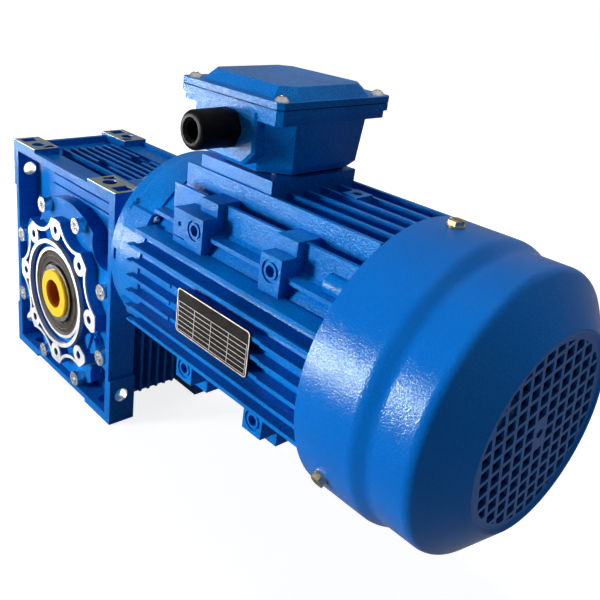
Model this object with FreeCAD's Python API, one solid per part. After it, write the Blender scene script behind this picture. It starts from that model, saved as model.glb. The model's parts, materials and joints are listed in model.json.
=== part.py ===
import FreeCAD, Part
import math
import os

os.makedirs("parts", exist_ok=True)

V = FreeCAD.Vector
X = V(1, 0, 0)
Y = V(0, 1, 0)
Z = V(0, 0, 1)

# Shared frame: the output axis is Y through the origin, the worm and motor axis is X at AXIS_Z.

# Output side
BEARING_SHAFT_R = 25.0
BEARING_OUTER_R = 40.0
BEARING_WIDTH = 16.0
BEARING_IN = 34.0
RACE_SHARE = 1 / 3
SHOULDER_R = BEARING_SHAFT_R + 4.0
HUB_R = SHOULDER_R + 15.0
OUTPUT_BORE_D = 28.0
OUTPUT_KEY_WIDTH = 8.0
OUTPUT_KEY_RISE = 3.3
CAP_SEAT_R = OUTPUT_BORE_D / 2 + 0.6
CAP_SEAT_DEPTH = 9.0
SEAL_R = BEARING_OUTER_R - 2.5
SEAL_WIDTH = 8.0
SEAL_SHOULDER = 1.0
SHAFT_END = BEARING_IN + BEARING_WIDTH + SEAL_WIDTH + 2.0
FLANGE_FACE = SHAFT_END
SPIGOT_FACE = FLANGE_FACE + 2.5
POCKET_FLOOR = FLANGE_FACE - 7.0
COVER_FACE = FLANGE_FACE - 10.0
COVER_SEAT = COVER_FACE - 10.0
LAND_R = BEARING_OUTER_R
SPIGOT_INNER_R = BEARING_OUTER_R + 4.1
SPIGOT_R = SPIGOT_INNER_R + 3.4
LOBE_HOLE_CIRCLE_R = SPIGOT_R + 10.0
LOBE_HOLE_R = 3.4
LOBE_HOLE_DEPTH = 14.0
LOBE_COUNT = 8
LOBE_R = LOBE_HOLE_CIRCLE_R + 9.3
LOBE_BOSS_R = 8.5
SCALLOP_VALLEY_R = LOBE_HOLE_CIRCLE_R - 0.5
SCALLOP_R = LOBE_HOLE_CIRCLE_R / 2
BAND = 2.8
COVER_SCREW_CIRCLE_R = LOBE_R + 9.7
COVER_SCREW_R = 4.0
COVER_SCREW_REACH = 18.0
COVER_R = COVER_SCREW_CIRCLE_R + 5.5
COVER_VALLEY_R = COVER_R - 12.5
COVER_SCOOP_R = 18.0
COVER_SPIGOT_R = COVER_SCREW_CIRCLE_R - 6.5
COVER_SPIGOT_LENGTH = 8.0
CHAMBER_R = COVER_SPIGOT_R - 4.0
CHAMBER_HALF = BEARING_IN - 7.0
CAP_HEAD_RATIO = 1.62
ORING_R = 1.2
PLUG_CIRCLE_R = LOBE_HOLE_CIRCLE_R + 2.8
PLUG_ANGLE = -23.0
PLUG_R = 8.5
PLUG_BOSS_R = PLUG_R + 1.0
PLUG_HEAD = 4.0
PLUG_SLOT = 4.0
PLUG_SLOT_DEPTH = 2.5
PLUG_THREAD_R = 6.0

# Gear housing
AXIS_Z = 75.0
HALF_LENGTH = COVER_R + 4.0
FOOT_DROP = HALF_LENGTH
HEAD_RISE = AXIS_Z + 39.0
HALF_WIDTH = FLANGE_FACE - 4.0
FRAME_WIDTH = 23.5
PAD_LENGTH = 41.0
PAD_PROUD = 3.0
PAD_WALL = 8.0
TOP_WALL = 9.0
PAD_HOLE_R = 5.75
BASE_HOLE_R = 5.5
PAD_HOLE_EDGE = 26.0
PAD_HOLE_Y = HALF_WIDTH - 11.0
PAD_POCKET = 11.0
PAD_POCKET_DEPTH = 4.0
PAD_RING = 2.3
WEB_OUT = COVER_SEAT - 3.0
WEB_IN = WEB_OUT - 8.0
CORE_DROP = 14.0
FIN_PITCH = 8.0
FIN_COUNT = 7
FIN_WIDTH = 2.4
FIN_HEIGHT = 10.0
END_FIN_RISE = 21.0
REAR_BOSS_X = -HALF_LENGTH + 33.0
FRONT_BOSS_X = HALF_LENGTH - 36.0
RIM_WIDTH = 4.5
TROUGH_DEPTH = 3.0

# Worm gearing
MODULE = 3.9
WHEEL_TEETH = 30
PRESSURE_ANGLE = math.radians(20.0)
FLANK_PLAY = 0.2
ROOT_PLAY = 0.9
WHEEL_HALF = 11.0
WORM_HALF = 27.0

# Worm shaft and its bearings
QUILL_R = 17.5
QUILL_END = HALF_LENGTH + 21.0
WORM_FRONT_BEARING_R = 31.0
WORM_FRONT_BEARING_WIDTH = 14.0
WORM_SEAL_WIDTH = 7.0
WORM_FRONT_BEARING_X = HALF_LENGTH - WORM_SEAL_WIDTH - WORM_FRONT_BEARING_WIDTH - 1.0
WORM_REAR_R = 12.5
WORM_REAR_BEARING_R = 26.0
WORM_REAR_BEARING_X = -HALF_LENGTH + 12.0
WORM_REAR_BEARING_WIDTH = 15.0
WORM_CORE_R = 15.0
TUNNEL_R = 22.5
CLIP_WIDTH = 1.6
CLIP_DEPTH = 1.8
END_CAP_WIDTH = 5.0

# Input flange
FLANGE_X = HALF_LENGTH + 18.0
MOTOR_FACE = FLANGE_X + 9.0
FLANGE_SPIGOT_R = 47.5
FLANGE_SPIGOT_DEPTH = 4.0
FLANGE_BOLT_R = 4.0
FLANGE_BOLT_CIRCLE_R = FLANGE_SPIGOT_R + 10.0
FLANGE_NECK_R = FLANGE_BOLT_CIRCLE_R - 7.5
FLANGE_R = FLANGE_BOLT_CIRCLE_R + 12.5
FLANGE_SCREW_CIRCLE_R = WORM_FRONT_BEARING_R + 9.0
FLANGE_SCREW_R = 3.0
FLANGE_SCREW_REACH = 16.0
FILL_PLUG_X = FRONT_BOSS_X + 6.0
FILL_PLUG_Y = -7.0
FILL_HEAD_R = 5.2
FILL_HEAD = 3.4
FILL_THREAD_R = 4.0
FILL_REACH = 10.0

# Motor
MOTOR_SHAFT_R = 12.0
MOTOR_SHAFT_LENGTH = 50.0
MOTOR_KEY_WIDTH = 8.0
MOTOR_KEY_HEIGHT = 7.0
MOTOR_KEY_SINK = 4.0
MOTOR_KEY_LENGTH = 40.0
EAR_X0 = MOTOR_FACE + 4.0
EAR_SPLIT = EAR_X0 + 12.0
FRAME_X0 = EAR_SPLIT + 12.0
FRAME_X1 = FRAME_X0 + 175.0
FRAME_R = FLANGE_R - 1.0
FRAME_BORE_R = FRAME_R - 4.0
SHIELD_R = FRAME_R + 1.6
SHIELD_PLATE = 8.0
MOTOR_BEARING_SHAFT_R = 12.5
MOTOR_BEARING_R = 26.0
MOTOR_BEARING_WIDTH = 15.0
MOTOR_BEARING_BACK = 5.0
EAR_ANGLE = 29.0
EAR_FLAT = FRAME_R + 4.3
EAR_RISE = 6.4
EAR_FALL = 9.3
EAR_SCREW_ANGLE = EAR_ANGLE + 4.0
EAR_SCREW_CIRCLE_R = FRAME_R - 1.5
EAR_SCREW_R = 3.0
EAR_SCREW_TIP = 2.0
EAR_HEAD_R = 6.9
EAR_POCKET = 13.0
EAR_POCKET_WALL = 1.2
SIDE_FIN_PITCH = 11.2
SIDE_FIN_TIP = FRAME_R + 8.0
SIDE_FIN_WIDTH = 2.6
SIDE_FIN_NOSE = 5.0
EDGE_FIN_TIP = SIDE_FIN_TIP - 2.0
TOP_FIN_PITCH = 14.5
TOP_FIN_TIP = FRAME_R + 7.5
BOTTOM_FIN_TIP = FRAME_R + 1.0
OUTER_PLATE_Y = FRAME_R - 21.0
OUTER_PLATE_TIP = FRAME_R - 4.0
OUTER_PLATE_LOW = FRAME_R - 10.0
SHELF_TIP = FRAME_R - 8.5
FOOT_PAD_Y = FRAME_R - 3.5
FOOT_PAD_Z0 = 3 * SIDE_FIN_PITCH + 0.8
FOOT_PAD_Z1 = FOOT_PAD_Z0 + 22.9
FOOT_STEP_Y = FOOT_PAD_Y - 10.5
FOOT_STEP_Z = FOOT_PAD_Z1 + 8.7
LOW_STEP_Y = FOOT_PAD_Y - 14.0
LOW_STEP_Z = FOOT_PAD_Z1 + 10.0
FOOT_HOLE_Z = FOOT_PAD_Z0 + 13.8
FOOT_HOLE_X = (FRAME_X0 + 52.0, FRAME_X0 + 121.0)
FOOT_PAD_HALF = 8.3
FOOT_PAD_EXTRA = 13.0
FOOT_HOLE_R = 3.4
FOOT_HOLE_DEPTH = 14.0
FOOT_RING_R = 6.6
FOOT_RING_GROOVE = 1.6
GROOVE_DEPTH = 1.2
STATOR_X0 = FRAME_X0 + 37.0
STATOR_X1 = FRAME_X1 - 38.0
STATOR_BORE_R = FRAME_BORE_R - 25.0
WINDING_REACH = 22.0
AIR_GAP = 0.3
ROTOR_SHAFT_R = 15.0
END_RING_WIDTH = 8.0
REAR_SHIELD_X1 = FRAME_X1 + 28.0
REAR_PLATE = 8.0
REAR_SCREW_BOSS_R = 6.5
REAR_SCREW_BOSS = 24.0
REAR_SCREW_REACH = 20.0
FAN_SHAFT_R = 9.5
FAN_X0 = REAR_SHIELD_X1 + 6.0
FAN_X1 = FAN_X0 + 22.0
FAN_BLADES = 8
FAN_COVER_X0 = FRAME_X1 - 5.0
FAN_COVER_R = SIDE_FIN_TIP + 8.0
FAN_STEP_X0 = FRAME_X1 + 33.0
FAN_STEP_X1 = FAN_STEP_X0 + 8.0
FAN_COVER_SMALL_R = FAN_COVER_R - 3.8
FAN_R = FAN_COVER_SMALL_R - 8.2
FAN_SHOULDER_X = FAN_STEP_X1 + 23.0
FAN_COVER_END = FAN_SHOULDER_X + 18.0
FAN_COVER_SHEET = 1.6
FAN_BEND = 10.0
FAN_SHOULDER_BEND = 6.0
FAN_RIM_BEND = 1.2
FAN_DISC_SET = 1.8
FAN_END_R = FAN_COVER_SMALL_R - 26.2
GRILLE_R = FAN_END_R - 4.0
GRILLE_PITCH = 9.0
GRILLE_HOLE = 6.6
GRILLE_TURN = 14.5
FAN_SCREW_X = FRAME_X1 + 10.0
FAN_SCREW_R = 2.5
FAN_SCREW_REACH = 12.0
FAN_ARM = 6.0

# Terminal box
PED_X0 = FRAME_X0 + 17.0
PED_X1 = PED_X0 + 67.4
PED_Y = 35.8
PED_TOP = FRAME_R + 15.7
GASKET = 1.2
BOX_RISE = 42.0
BOX_BEVEL = 5.0
BOX_TOP_X0 = PED_X0 - 9.0
BOX_TOP_X1 = PED_X1 + 7.1
BOX_TOP_Y = PED_Y + 5.2
BOX_CORNER = 12.0
BOX_FRONT_CORNER = 15.0
BOX_BACK_CORNER = 4.0
BOX_FLOOR_CORNER = 9.0
LIP_X0 = BOX_TOP_X0 - 5.0
LIP_X1 = BOX_TOP_X1 + 3.7
LIP_Y = BOX_TOP_Y + 5.4
LIP = 4.2
LIP_CORNER = 3.0
UNDER_LIP = 4.6
UNDER_LIP_INSET = 1.4
BOX_WALL = 3.2
LID_FLANGE = 3.8
LID_RISE = 6.3
LID_INSET_X = 3.4
LID_INSET_Y = 7.0
LID_SLOPE = 7.0
LID_CORNER = 11.0
LID_TOP_CORNER = 7.0
LID_SCREW_INSET = 6.6
LID_SCREW_R = 2.5
BOX_SCREW_REACH = 10.0
PANEL_Y = LIP_Y
PANEL_X0 = PED_X0 + 2.0
PANEL_X1 = PED_X1 - 8.0
PANEL_DROP = 19.0
PANEL_CORNER = 8.0
PANEL_EDGE = 1.6
WIRE_HALF = 12.0
WIRE_WIDTH = 10.0
BLOCK_LENGTH = 44.0
BLOCK_HALF = PED_Y - 2 * LID_SCREW_INSET - 8.6
BLOCK_HEIGHT = 11.0
STUD_PITCH = BLOCK_LENGTH / 3
STUD_R = 2.0
NUT_ACROSS = 7.0
NUT_HEIGHT = 3.2
GLAND_X = PED_X0 + 36.0
GLAND_RISE = 26.0
GLAND_THREAD_R = 10.0
GLAND_NUT_R = GLAND_THREAD_R + 1.6
GLAND_COLLAR = 7.0
GLAND_END = PANEL_Y + 27.8
GLAND_ROUND = 3.2
GLAND_WALL = 8.0
GLAND_CORD_R = 5.5
GLAND_MOUTH = 2.0
PLATE_X0 = FRAME_X0 + 54.5
PLATE_LENGTH = 69.0
PLATE_HEIGHT = 30.4
PLATE_THICK = 0.8
PLATE_CORNER = 3.0
PLATE_MARGIN = 8.0
PLATE_SINK = 1.0

# Clearances
RUN = 0.05
SCREW_PLAY = 0.35
SIDE_PLAY = 0.5


def box(x0, x1, y0, y1, z0, z1):
    return Part.makeBox(x1 - x0, y1 - y0, z1 - z0, V(x0, y0, z0))


def cyl_x(r, x0, x1, y=0.0, z=0.0):
    return Part.makeCylinder(r, x1 - x0, V(x0, y, AXIS_Z + z), X)


def cyl_y(r, y0, y1, x=0.0, z=0.0):
    return Part.makeCylinder(r, y1 - y0, V(x, y0, z), Y)


def cyl_z(r, z0, z1, x=0.0, y=0.0):
    return Part.makeCylinder(r, z1 - z0, V(x, y, z0), Z)


def turned_x(profile):
    pts = [V(x, 0, AXIS_Z + r) for x, r in profile]
    face = Part.Face(Part.makePolygon(pts + pts[:1]))
    return face.revolve(V(0, 0, AXIS_Z), X, 360)


def turned_bends(profile):
    pts = [V(x, 0, AXIS_Z + r) for x, r, bend in profile]
    corners = []
    for k, (x, r, bend) in enumerate(profile):
        before = (pts[k - 1] - pts[k]).normalize()
        after = (pts[(k + 1) % len(pts)] - pts[k]).normalize()
        if bend == 0:
            corners.append([pts[k]])
            continue
        half = before.getAngle(after) / 2
        middle = (before + after).normalize()
        crown = pts[k] + middle * (bend / math.sin(half) - bend)
        reach = bend / math.tan(half)
        corners.append([pts[k] + before * reach, crown, pts[k] + after * reach])
    edges = []
    for k, corner in enumerate(corners):
        if len(corner) == 3:
            edges.append(Part.Arc(*corner).toShape())
        edges.append(Part.makeLine(corner[-1], corners[(k + 1) % len(corners)][0]))
    return Part.Face(Part.Wire(edges)).revolve(V(0, 0, AXIS_Z), X, 360)


def turned_y(profile):
    pts = [V(r, y, 0) for y, r in profile]
    face = Part.Face(Part.makePolygon(pts + pts[:1]))
    return face.revolve(V(0, 0, 0), Y, 360)


def tube_x(outer, inner, x0, x1):
    return turned_x([(x0, inner), (x0, outer), (x1, outer), (x1, inner)])


def tube_y(outer, inner, y0, y1):
    return turned_y([(y0, inner), (y0, outer), (y1, outer), (y1, inner)])


def prism_z(points, z0, z1):
    pts = [V(x, y, z0) for x, y in points]
    return Part.Face(Part.makePolygon(pts + pts[:1])).extrude(V(0, 0, z1 - z0))


def prism_y(points, y0, y1):
    pts = [V(x, y0, z) for x, z in points]
    return Part.Face(Part.makePolygon(pts + pts[:1])).extrude(V(0, y1 - y0, 0))


def prism_x(points, x0, x1):
    pts = [V(x0, y, AXIS_Z + z) for y, z in points]
    return Part.Face(Part.makePolygon(pts + pts[:1])).extrude(V(x1 - x0, 0, 0))


def loft(lower, upper):
    wires = [Part.makePolygon(pts + pts[:1]) for pts in (lower, upper)]
    return Part.makeLoft(wires, True, True)


def loft_z(lower, z0, upper, z1):
    return loft([V(x, y, z0) for x, y in lower], [V(x, y, z1) for x, y in upper])


def loft_y(lower, y0, upper, y1):
    return loft([V(x, y0, z) for x, z in lower], [V(x, y1, z) for x, z in upper])


def fuse(shapes):
    return shapes[0].multiFuse(shapes[1:]).removeSplitter()


def cut(shape, tools):
    return shape.cut(tools)


def mirror_y(shape):
    return shape.mirror(V(0, 0, 0), Y)


def four_corners(shape):
    pair = [shape, mirror_y(shape)]
    return pair + [s.mirror(V(0, 0, AXIS_Z), Z) for s in pair]


def turn_x(shape, angle):
    out = shape.copy()
    out.rotate(V(0, 0, AXIS_Z), X, angle)
    return out


def polar_y(radius, angle):
    return radius * math.cos(math.radians(angle)), radius * math.sin(math.radians(angle))


def octagon(x0, x1, half_y, front, back):
    return [(x0 + front, -half_y), (x1 - front, -half_y), (x1, -half_y + front), (x1, half_y - back),
            (x1 - back, half_y), (x0 + back, half_y), (x0, half_y - back), (x0, -half_y + front)]


def save(name, shape):
    solids = shape.Solids
    out = solids[0] if len(solids) == 1 else Part.makeCompound(solids)
    out.exportStep("parts/" + name + ".step")


def hex_prism(base, axis, across, length):
    side = V(0, 0, 1) if abs(axis.z) < 0.9 else V(1, 0, 0)
    u = axis.cross(side).normalize()
    w = axis.cross(u)
    r = across / math.sqrt(3.0)
    pts = []
    for k in range(6):
        a = math.radians(60 * k)
        pts.append(base + u * (r * math.cos(a)) + w * (r * math.sin(a)))
    return Part.Face(Part.makePolygon(pts + pts[:1])).extrude(axis * length)


def cap_screw(seat, into, r, reach):
    tall = 2 * r
    head = Part.makeCylinder(CAP_HEAD_RATIO * r, tall, seat - into * tall, into)
    shank = Part.makeCylinder(r, reach, seat, into)
    socket = hex_prism(seat - into * tall, into, 1.5 * r, 1.1 * r)
    return cut(fuse([head, shank]), [socket])


def pan_screw(seat, into, r, reach):
    head = dome(1.75 * r, 1.2 * r, seat, into * -1)
    slot = Part.makeBox(0.4 * r, 1.6 * r, 0.6 * r, V(seat.x - 0.2 * r, seat.y - 0.8 * r, seat.z + 0.7 * r))
    cross = Part.makeBox(1.6 * r, 0.4 * r, 0.6 * r, V(seat.x - 0.8 * r, seat.y - 0.2 * r, seat.z + 0.7 * r))
    shank = Part.makeCylinder(r, reach, seat, into)
    return cut(fuse([head, shank]), [slot, cross])


def flange_screw(seat, into, r, reach):
    collar = Part.makeCylinder(2.0 * r, 0.5 * r, seat - into * (0.5 * r), into)
    head = hex_prism(seat - into * (1.5 * r), into, 3.2 * r, r)
    shank = Part.makeCylinder(r, reach, seat, into)
    return fuse([collar, head, shank])


def race_pair(outer_r, inner_r, start, width, tube):
    race = RACE_SHARE * (outer_r - inner_r)
    outer = tube(outer_r, outer_r - race, start, start + width)
    return outer, tube(inner_r + race, inner_r, start, start + width)


def dome(r, height, seat, out):
    ball_r = (r * r + height * height) / (2 * height)
    ball = Part.makeSphere(ball_r, seat + out * (height - ball_r))
    return ball.common(Part.makeCylinder(r, height, seat, out))


# Gear housing
plain = HALF_LENGTH - PAD_PROUD
inner = HALF_LENGTH - PAD_WALL
top_in = HEAD_RISE - TOP_WALL
bottom_in = -FOOT_DROP + PAD_WALL
top_plain = HEAD_RISE - PAD_PROUD
bottom_plain = -FOOT_DROP + PAD_PROUD
frame_back = HALF_WIDTH - FRAME_WIDTH
pad_hole_x = HALF_LENGTH - PAD_HOLE_EDGE
pad_hole_high = HEAD_RISE - PAD_HOLE_EDGE
pad_hole_low = -FOOT_DROP + PAD_HOLE_EDGE
pad_inner_x = HALF_LENGTH - PAD_LENGTH


def foot_frame():
    solids = [box(-plain, plain, -HALF_WIDTH, -frame_back, bottom_plain, top_plain)]
    for x0, x1 in ((-HALF_LENGTH, -pad_inner_x), (pad_inner_x, HALF_LENGTH)):
        solids.append(box(x0, x1, -HALF_WIDTH, -frame_back, top_in, HEAD_RISE))
        solids.append(box(x0, x1, -HALF_WIDTH, -frame_back, -FOOT_DROP, bottom_in))
    for x0, x1 in ((-HALF_LENGTH, -inner), (inner, HALF_LENGTH)):
        solids.append(box(x0, x1, -HALF_WIDTH, -frame_back, HEAD_RISE - PAD_LENGTH, HEAD_RISE))
        solids.append(box(x0, x1, -HALF_WIDTH, -frame_back, -FOOT_DROP, -FOOT_DROP + PAD_LENGTH))
    tools = [box(-inner, inner, -HALF_WIDTH - 1, -WEB_OUT, bottom_in, top_in)]
    trough_front = -HALF_WIDTH + RIM_WIDTH
    tools.append(box(-pad_inner_x, pad_inner_x, trough_front, 0, top_plain - TROUGH_DEPTH, HEAD_RISE))
    tools.append(box(-pad_inner_x, pad_inner_x, trough_front, 0, -FOOT_DROP, bottom_plain + TROUGH_DEPTH))
    half = PAD_POCKET * 0.6
    depth = PAD_POCKET_DEPTH
    pocket_spans = ((HEAD_RISE - depth, HEAD_RISE + 1), (-FOOT_DROP - 1, -FOOT_DROP + depth))
    for side in (-1, 1):
        x = side * pad_hole_x
        end_r = BASE_HOLE_R if side > 0 else PAD_HOLE_R
        tools.append(cyl_z(PAD_HOLE_R, top_in - 1, HEAD_RISE + 1, x, -PAD_HOLE_Y))
        tools.append(cyl_z(BASE_HOLE_R, -FOOT_DROP - 1, bottom_in + 1, x, -PAD_HOLE_Y))
        a, b = sorted((side * (HALF_LENGTH + 1), side * (inner - 1)))
        for z in (pad_hole_high, pad_hole_low):
            tools.append(Part.makeCylinder(end_r, b - a, V(a, -PAD_HOLE_Y, z), X))
        a, b = sorted((side * plain, side * (plain - PAD_POCKET)))
        c, d = sorted((side * (pad_inner_x + PAD_PROUD), side * (pad_hole_x - PAD_HOLE_R)))
        for z0, z1 in pocket_spans:
            tools.append(box(a, b, -PAD_HOLE_Y - half, -PAD_HOLE_Y + half, z0, z1))
            pocket = box(c, d, -PAD_HOLE_Y, -frame_back - RIM_WIDTH / 2, z0, z1)
            tools.append(cut(pocket, [cyl_z(PAD_HOLE_R + PAD_RING, z0, z1, x, -PAD_HOLE_Y)]))
    return cut(fuse(solids), tools)


def cover_outline(y0, y1, reach):
    disc = cyl_y(COVER_R, y0, y1).common(box(-reach, reach, y0, y1, -reach, COVER_R))
    scoops = []
    for k in range(4):
        x, z = polar_y(COVER_VALLEY_R + COVER_SCOOP_R, 45 + 90 * k)
        scoops.append(cyl_y(COVER_SCOOP_R, y0 - 1, y1 + 1, x, z))
    return cut(disc, scoops)


def output_flange():
    step = 360 / LOBE_COUNT
    valleys = [polar_y(SCALLOP_VALLEY_R + SCALLOP_R, step * (k + 0.5)) for k in range(LOBE_COUNT)]
    lobes = [polar_y(LOBE_HOLE_CIRCLE_R, step * k) for k in range(LOBE_COUNT)]
    outside = -FLANGE_FACE - 1
    scallops = [cyl_y(SCALLOP_R, outside, -COVER_FACE, x, z) for x, z in valleys]
    body = cut(cyl_y(LOBE_R, -FLANGE_FACE, -COVER_FACE), scallops)
    pocket = tube_y(LOBE_HOLE_CIRCLE_R + BAND, SPIGOT_R - 1, outside, -POCKET_FLOOR)
    keep = [cyl_y(SCALLOP_R + BAND, outside, -POCKET_FLOOR, x, z) for x, z in valleys]
    keep += [cyl_y(LOBE_BOSS_R, outside, -POCKET_FLOOR, x, z) for x, z in lobes]
    body = cut(body, [cut(pocket, keep)])
    return fuse([body, cyl_y(SPIGOT_R, -SPIGOT_FACE, -COVER_FACE)])


def hub_bores():
    bearing_out = BEARING_IN + BEARING_WIDTH
    seal_in = bearing_out + SEAL_SHOULDER
    land = seal_in + SEAL_WIDTH
    tools = [cyl_y(BEARING_OUTER_R, -bearing_out, 0)]
    tools.append(cyl_y(SEAL_R - 3, -seal_in - 1, 0))
    tools.append(cyl_y(SEAL_R, -SPIGOT_FACE - 1, -seal_in))
    tools.append(tube_y(SPIGOT_INNER_R, SEAL_R - 1, -SPIGOT_FACE - 1, -land))
    tools.append(tube_y(SPIGOT_INNER_R, LAND_R, -land - 1, -land + 3))
    for k in range(LOBE_COUNT):
        x, z = polar_y(LOBE_HOLE_CIRCLE_R, 360 / LOBE_COUNT * k)
        tools.append(cyl_y(LOBE_HOLE_R, -FLANGE_FACE - 1, -FLANGE_FACE + LOBE_HOLE_DEPTH, x, z))
    return tools


fin_rows = [FIN_PITCH * (k - (FIN_COUNT - 1) / 2) for k in range(FIN_COUNT)]
core_x = HALF_LENGTH - CORE_DROP
core_top = HEAD_RISE - CORE_DROP
core_bottom = -FOOT_DROP + CORE_DROP
boss_top = top_plain - 1
boss_low = AXIS_Z - FLANGE_SCREW_CIRCLE_R
fin_w = FIN_WIDTH / 2
end_fin_low = -FOOT_DROP + END_FIN_RISE

front_frame = foot_frame()
housing = [front_frame, mirror_y(front_frame)]
for y0, y1 in ((-WEB_OUT, -WEB_IN), (WEB_IN, WEB_OUT)):
    housing.append(box(-inner, inner, y0, y1, bottom_in, top_in))
housing.append(box(-core_x, core_x, -WEB_IN, WEB_IN, core_bottom, core_top))
housing.append(box(FRONT_BOSS_X, HALF_LENGTH, -frame_back, frame_back, boss_low, boss_top))
housing.append(box(-plain, REAR_BOSS_X, -frame_back, frame_back, boss_low + 5, top_in))
housing.append(box(-plain, -plain + RIM_WIDTH, -frame_back, frame_back, boss_low + 5, top_plain))
for row, y in enumerate(fin_rows):
    fin_top = core_top + FIN_HEIGHT
    spans = [(REAR_BOSS_X, FRONT_BOSS_X)]
    if row in (1, FIN_COUNT - 2, FIN_COUNT - 1):
        spans = [(REAR_BOSS_X, -FIN_PITCH), (1.5 * FIN_PITCH, FRONT_BOSS_X)]
    for x0, x1 in spans:
        housing.append(box(x0 - 1, x1 + 1, y - fin_w, y + fin_w, core_top - 1, fin_top))
    housing.append(box(core_x - 1, plain, y - fin_w, y + fin_w, end_fin_low, boss_low + 1))
    housing.append(box(-plain, -core_x + 1, y - fin_w, y + fin_w, end_fin_low, boss_low + 6))
    housing.append(box(REAR_BOSS_X, FRONT_BOSS_X, y - fin_w, y + fin_w, bottom_plain, core_bottom + 1))
housing.append(cover_outline(-COVER_SEAT, -WEB_OUT + 1, inner))
for drop in (2.0, 3.1):
    z = HEAD_RISE - drop * PAD_WALL - PAD_WALL
    housing.append(box(-pad_inner_x, inner, -COVER_SEAT + 1, -WEB_OUT + 1, z, z + FIN_WIDTH))
rear_hub = mirror_y(output_flange())
housing.append(rear_hub)
housing.append(cyl_y(COVER_VALLEY_R, WEB_IN, COVER_FACE + 0.5))
housing = fuse(housing)

tunnel_rear = WORM_REAR_BEARING_X + WORM_REAR_BEARING_WIDTH
seal_x = HALF_LENGTH - WORM_SEAL_WIDTH
tools = [cyl_y(CHAMBER_R, -CHAMBER_HALF, CHAMBER_HALF)]
tools.append(cyl_y(COVER_SPIGOT_R, -COVER_SEAT - 1, -CHAMBER_HALF))
tools += [mirror_y(t) for t in hub_bores()]
tools.append(cyl_x(TUNNEL_R, tunnel_rear - 1, WORM_FRONT_BEARING_X + 1))
tools.append(cyl_x(WORM_FRONT_BEARING_R, WORM_FRONT_BEARING_X, HALF_LENGTH + 1))
tools.append(cyl_x(WORM_REAR_BEARING_R, -HALF_LENGTH - 1, tunnel_rear))
clip_x = WORM_REAR_BEARING_X - CLIP_WIDTH
tools.append(cyl_x(WORM_REAR_BEARING_R + CLIP_DEPTH, clip_x, WORM_REAR_BEARING_X))
screw_step = 360 / LOBE_COUNT
cover_screw_points = [polar_y(COVER_SCREW_CIRCLE_R, screw_step * (k + 0.5)) for k in range(LOBE_COUNT)]
for x, z in cover_screw_points:
    tools.append(cyl_y(COVER_SCREW_R, -COVER_SEAT - 1, -COVER_FACE + COVER_SCREW_REACH, x, z))
flange_screw_points = [polar_y(FLANGE_SCREW_CIRCLE_R, 45 + 90 * k) for k in range(4)]
for y, z in flange_screw_points:
    tools.append(cyl_x(FLANGE_SCREW_R, HALF_LENGTH - FLANGE_SCREW_REACH, HALF_LENGTH + 1, y, z))
tools.append(cyl_z(FILL_THREAD_R, boss_top - FILL_REACH - 1, boss_top + 1, FILL_PLUG_X, FILL_PLUG_Y))
housing = cut(housing, tools)
save("gear_housing", housing)

# Side cover, its seal ring and screws
plug_x, plug_z = polar_y(PLUG_CIRCLE_R, PLUG_ANGLE)
cover = [cover_outline(-COVER_FACE, -COVER_SEAT, inner - SIDE_PLAY)]
cover.append(output_flange())
cover.append(tube_y(COVER_SPIGOT_R, COVER_SPIGOT_R - 8, -COVER_SEAT - 1, -COVER_SEAT + COVER_SPIGOT_LENGTH))
cover.append(cyl_y(BEARING_OUTER_R + 8, -COVER_SEAT - 1, -BEARING_IN + 1))
cover = fuse(cover)
gap_angles = (PLUG_ANGLE + 14, PLUG_ANGLE - 13)
gap_radii = (SPIGOT_R, LOBE_R + BAND)
lobe_gap = [polar_y(gap_radii[i], gap_angles[j]) for i, j in ((0, 0), (1, 0), (1, 1), (0, 1))]
tools = hub_bores() + [prism_y(lobe_gap, -SPIGOT_FACE - 1, -POCKET_FLOOR)]
tools[-1] = cut(tools[-1], [cyl_y(SPIGOT_R, -SPIGOT_FACE - 1, -POCKET_FLOOR)])
cover = cut(cover, tools)
cover = fuse([cover, cyl_y(PLUG_BOSS_R, -POCKET_FLOOR, -COVER_FACE + 1, plug_x, plug_z)])
tools = [cyl_y(PLUG_THREAD_R, -SPIGOT_FACE, 0, plug_x, plug_z)]
for x, z in cover_screw_points:
    tools.append(cyl_y(COVER_SCREW_R + SCREW_PLAY, -COVER_FACE - 1, -COVER_SEAT + 1, x, z))
ring_mid = -COVER_SEAT + COVER_SPIGOT_LENGTH / 2
ring_half = 1.3 * ORING_R
ring_in = COVER_SPIGOT_R - 2 * ORING_R
tools.append(tube_y(COVER_SPIGOT_R + 1, ring_in, ring_mid - ring_half, ring_mid + ring_half))
cover = cut(cover, tools)
save("side_cover", cover)
save("cover_seal_ring", Part.makeTorus(COVER_SPIGOT_R - ORING_R, ORING_R, V(0, ring_mid, 0), Y))
screws = [cap_screw(V(x, -COVER_FACE, z), Y, COVER_SCREW_R, COVER_SCREW_REACH) for x, z in cover_screw_points]
save("cover_screws", Part.makeCompound(screws))

level_plug = fuse([cyl_y(PLUG_R, -POCKET_FLOOR - PLUG_HEAD, -POCKET_FLOOR, plug_x, plug_z),
                   cyl_y(PLUG_THREAD_R, -POCKET_FLOOR, -COVER_SEAT, plug_x, plug_z)])
plug_face = -POCKET_FLOOR - PLUG_HEAD
slot = box(-PLUG_SLOT / 2, PLUG_SLOT / 2, plug_face - 1, plug_face + PLUG_SLOT_DEPTH, -2 * PLUG_R, 2 * PLUG_R)
slot.rotate(V(0, 0, 0), Y, 20)
slot.translate(V(plug_x, 0, plug_z))
save("oil_level_plug", cut(level_plug, [slot]))
fill_head = dome(FILL_HEAD_R, FILL_HEAD, V(FILL_PLUG_X, FILL_PLUG_Y, boss_top), Z)
fill_thread = cyl_z(FILL_THREAD_R, boss_top - FILL_REACH, boss_top, FILL_PLUG_X, FILL_PLUG_Y)
save("oil_fill_plug", fuse([fill_head, fill_thread]))

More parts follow.
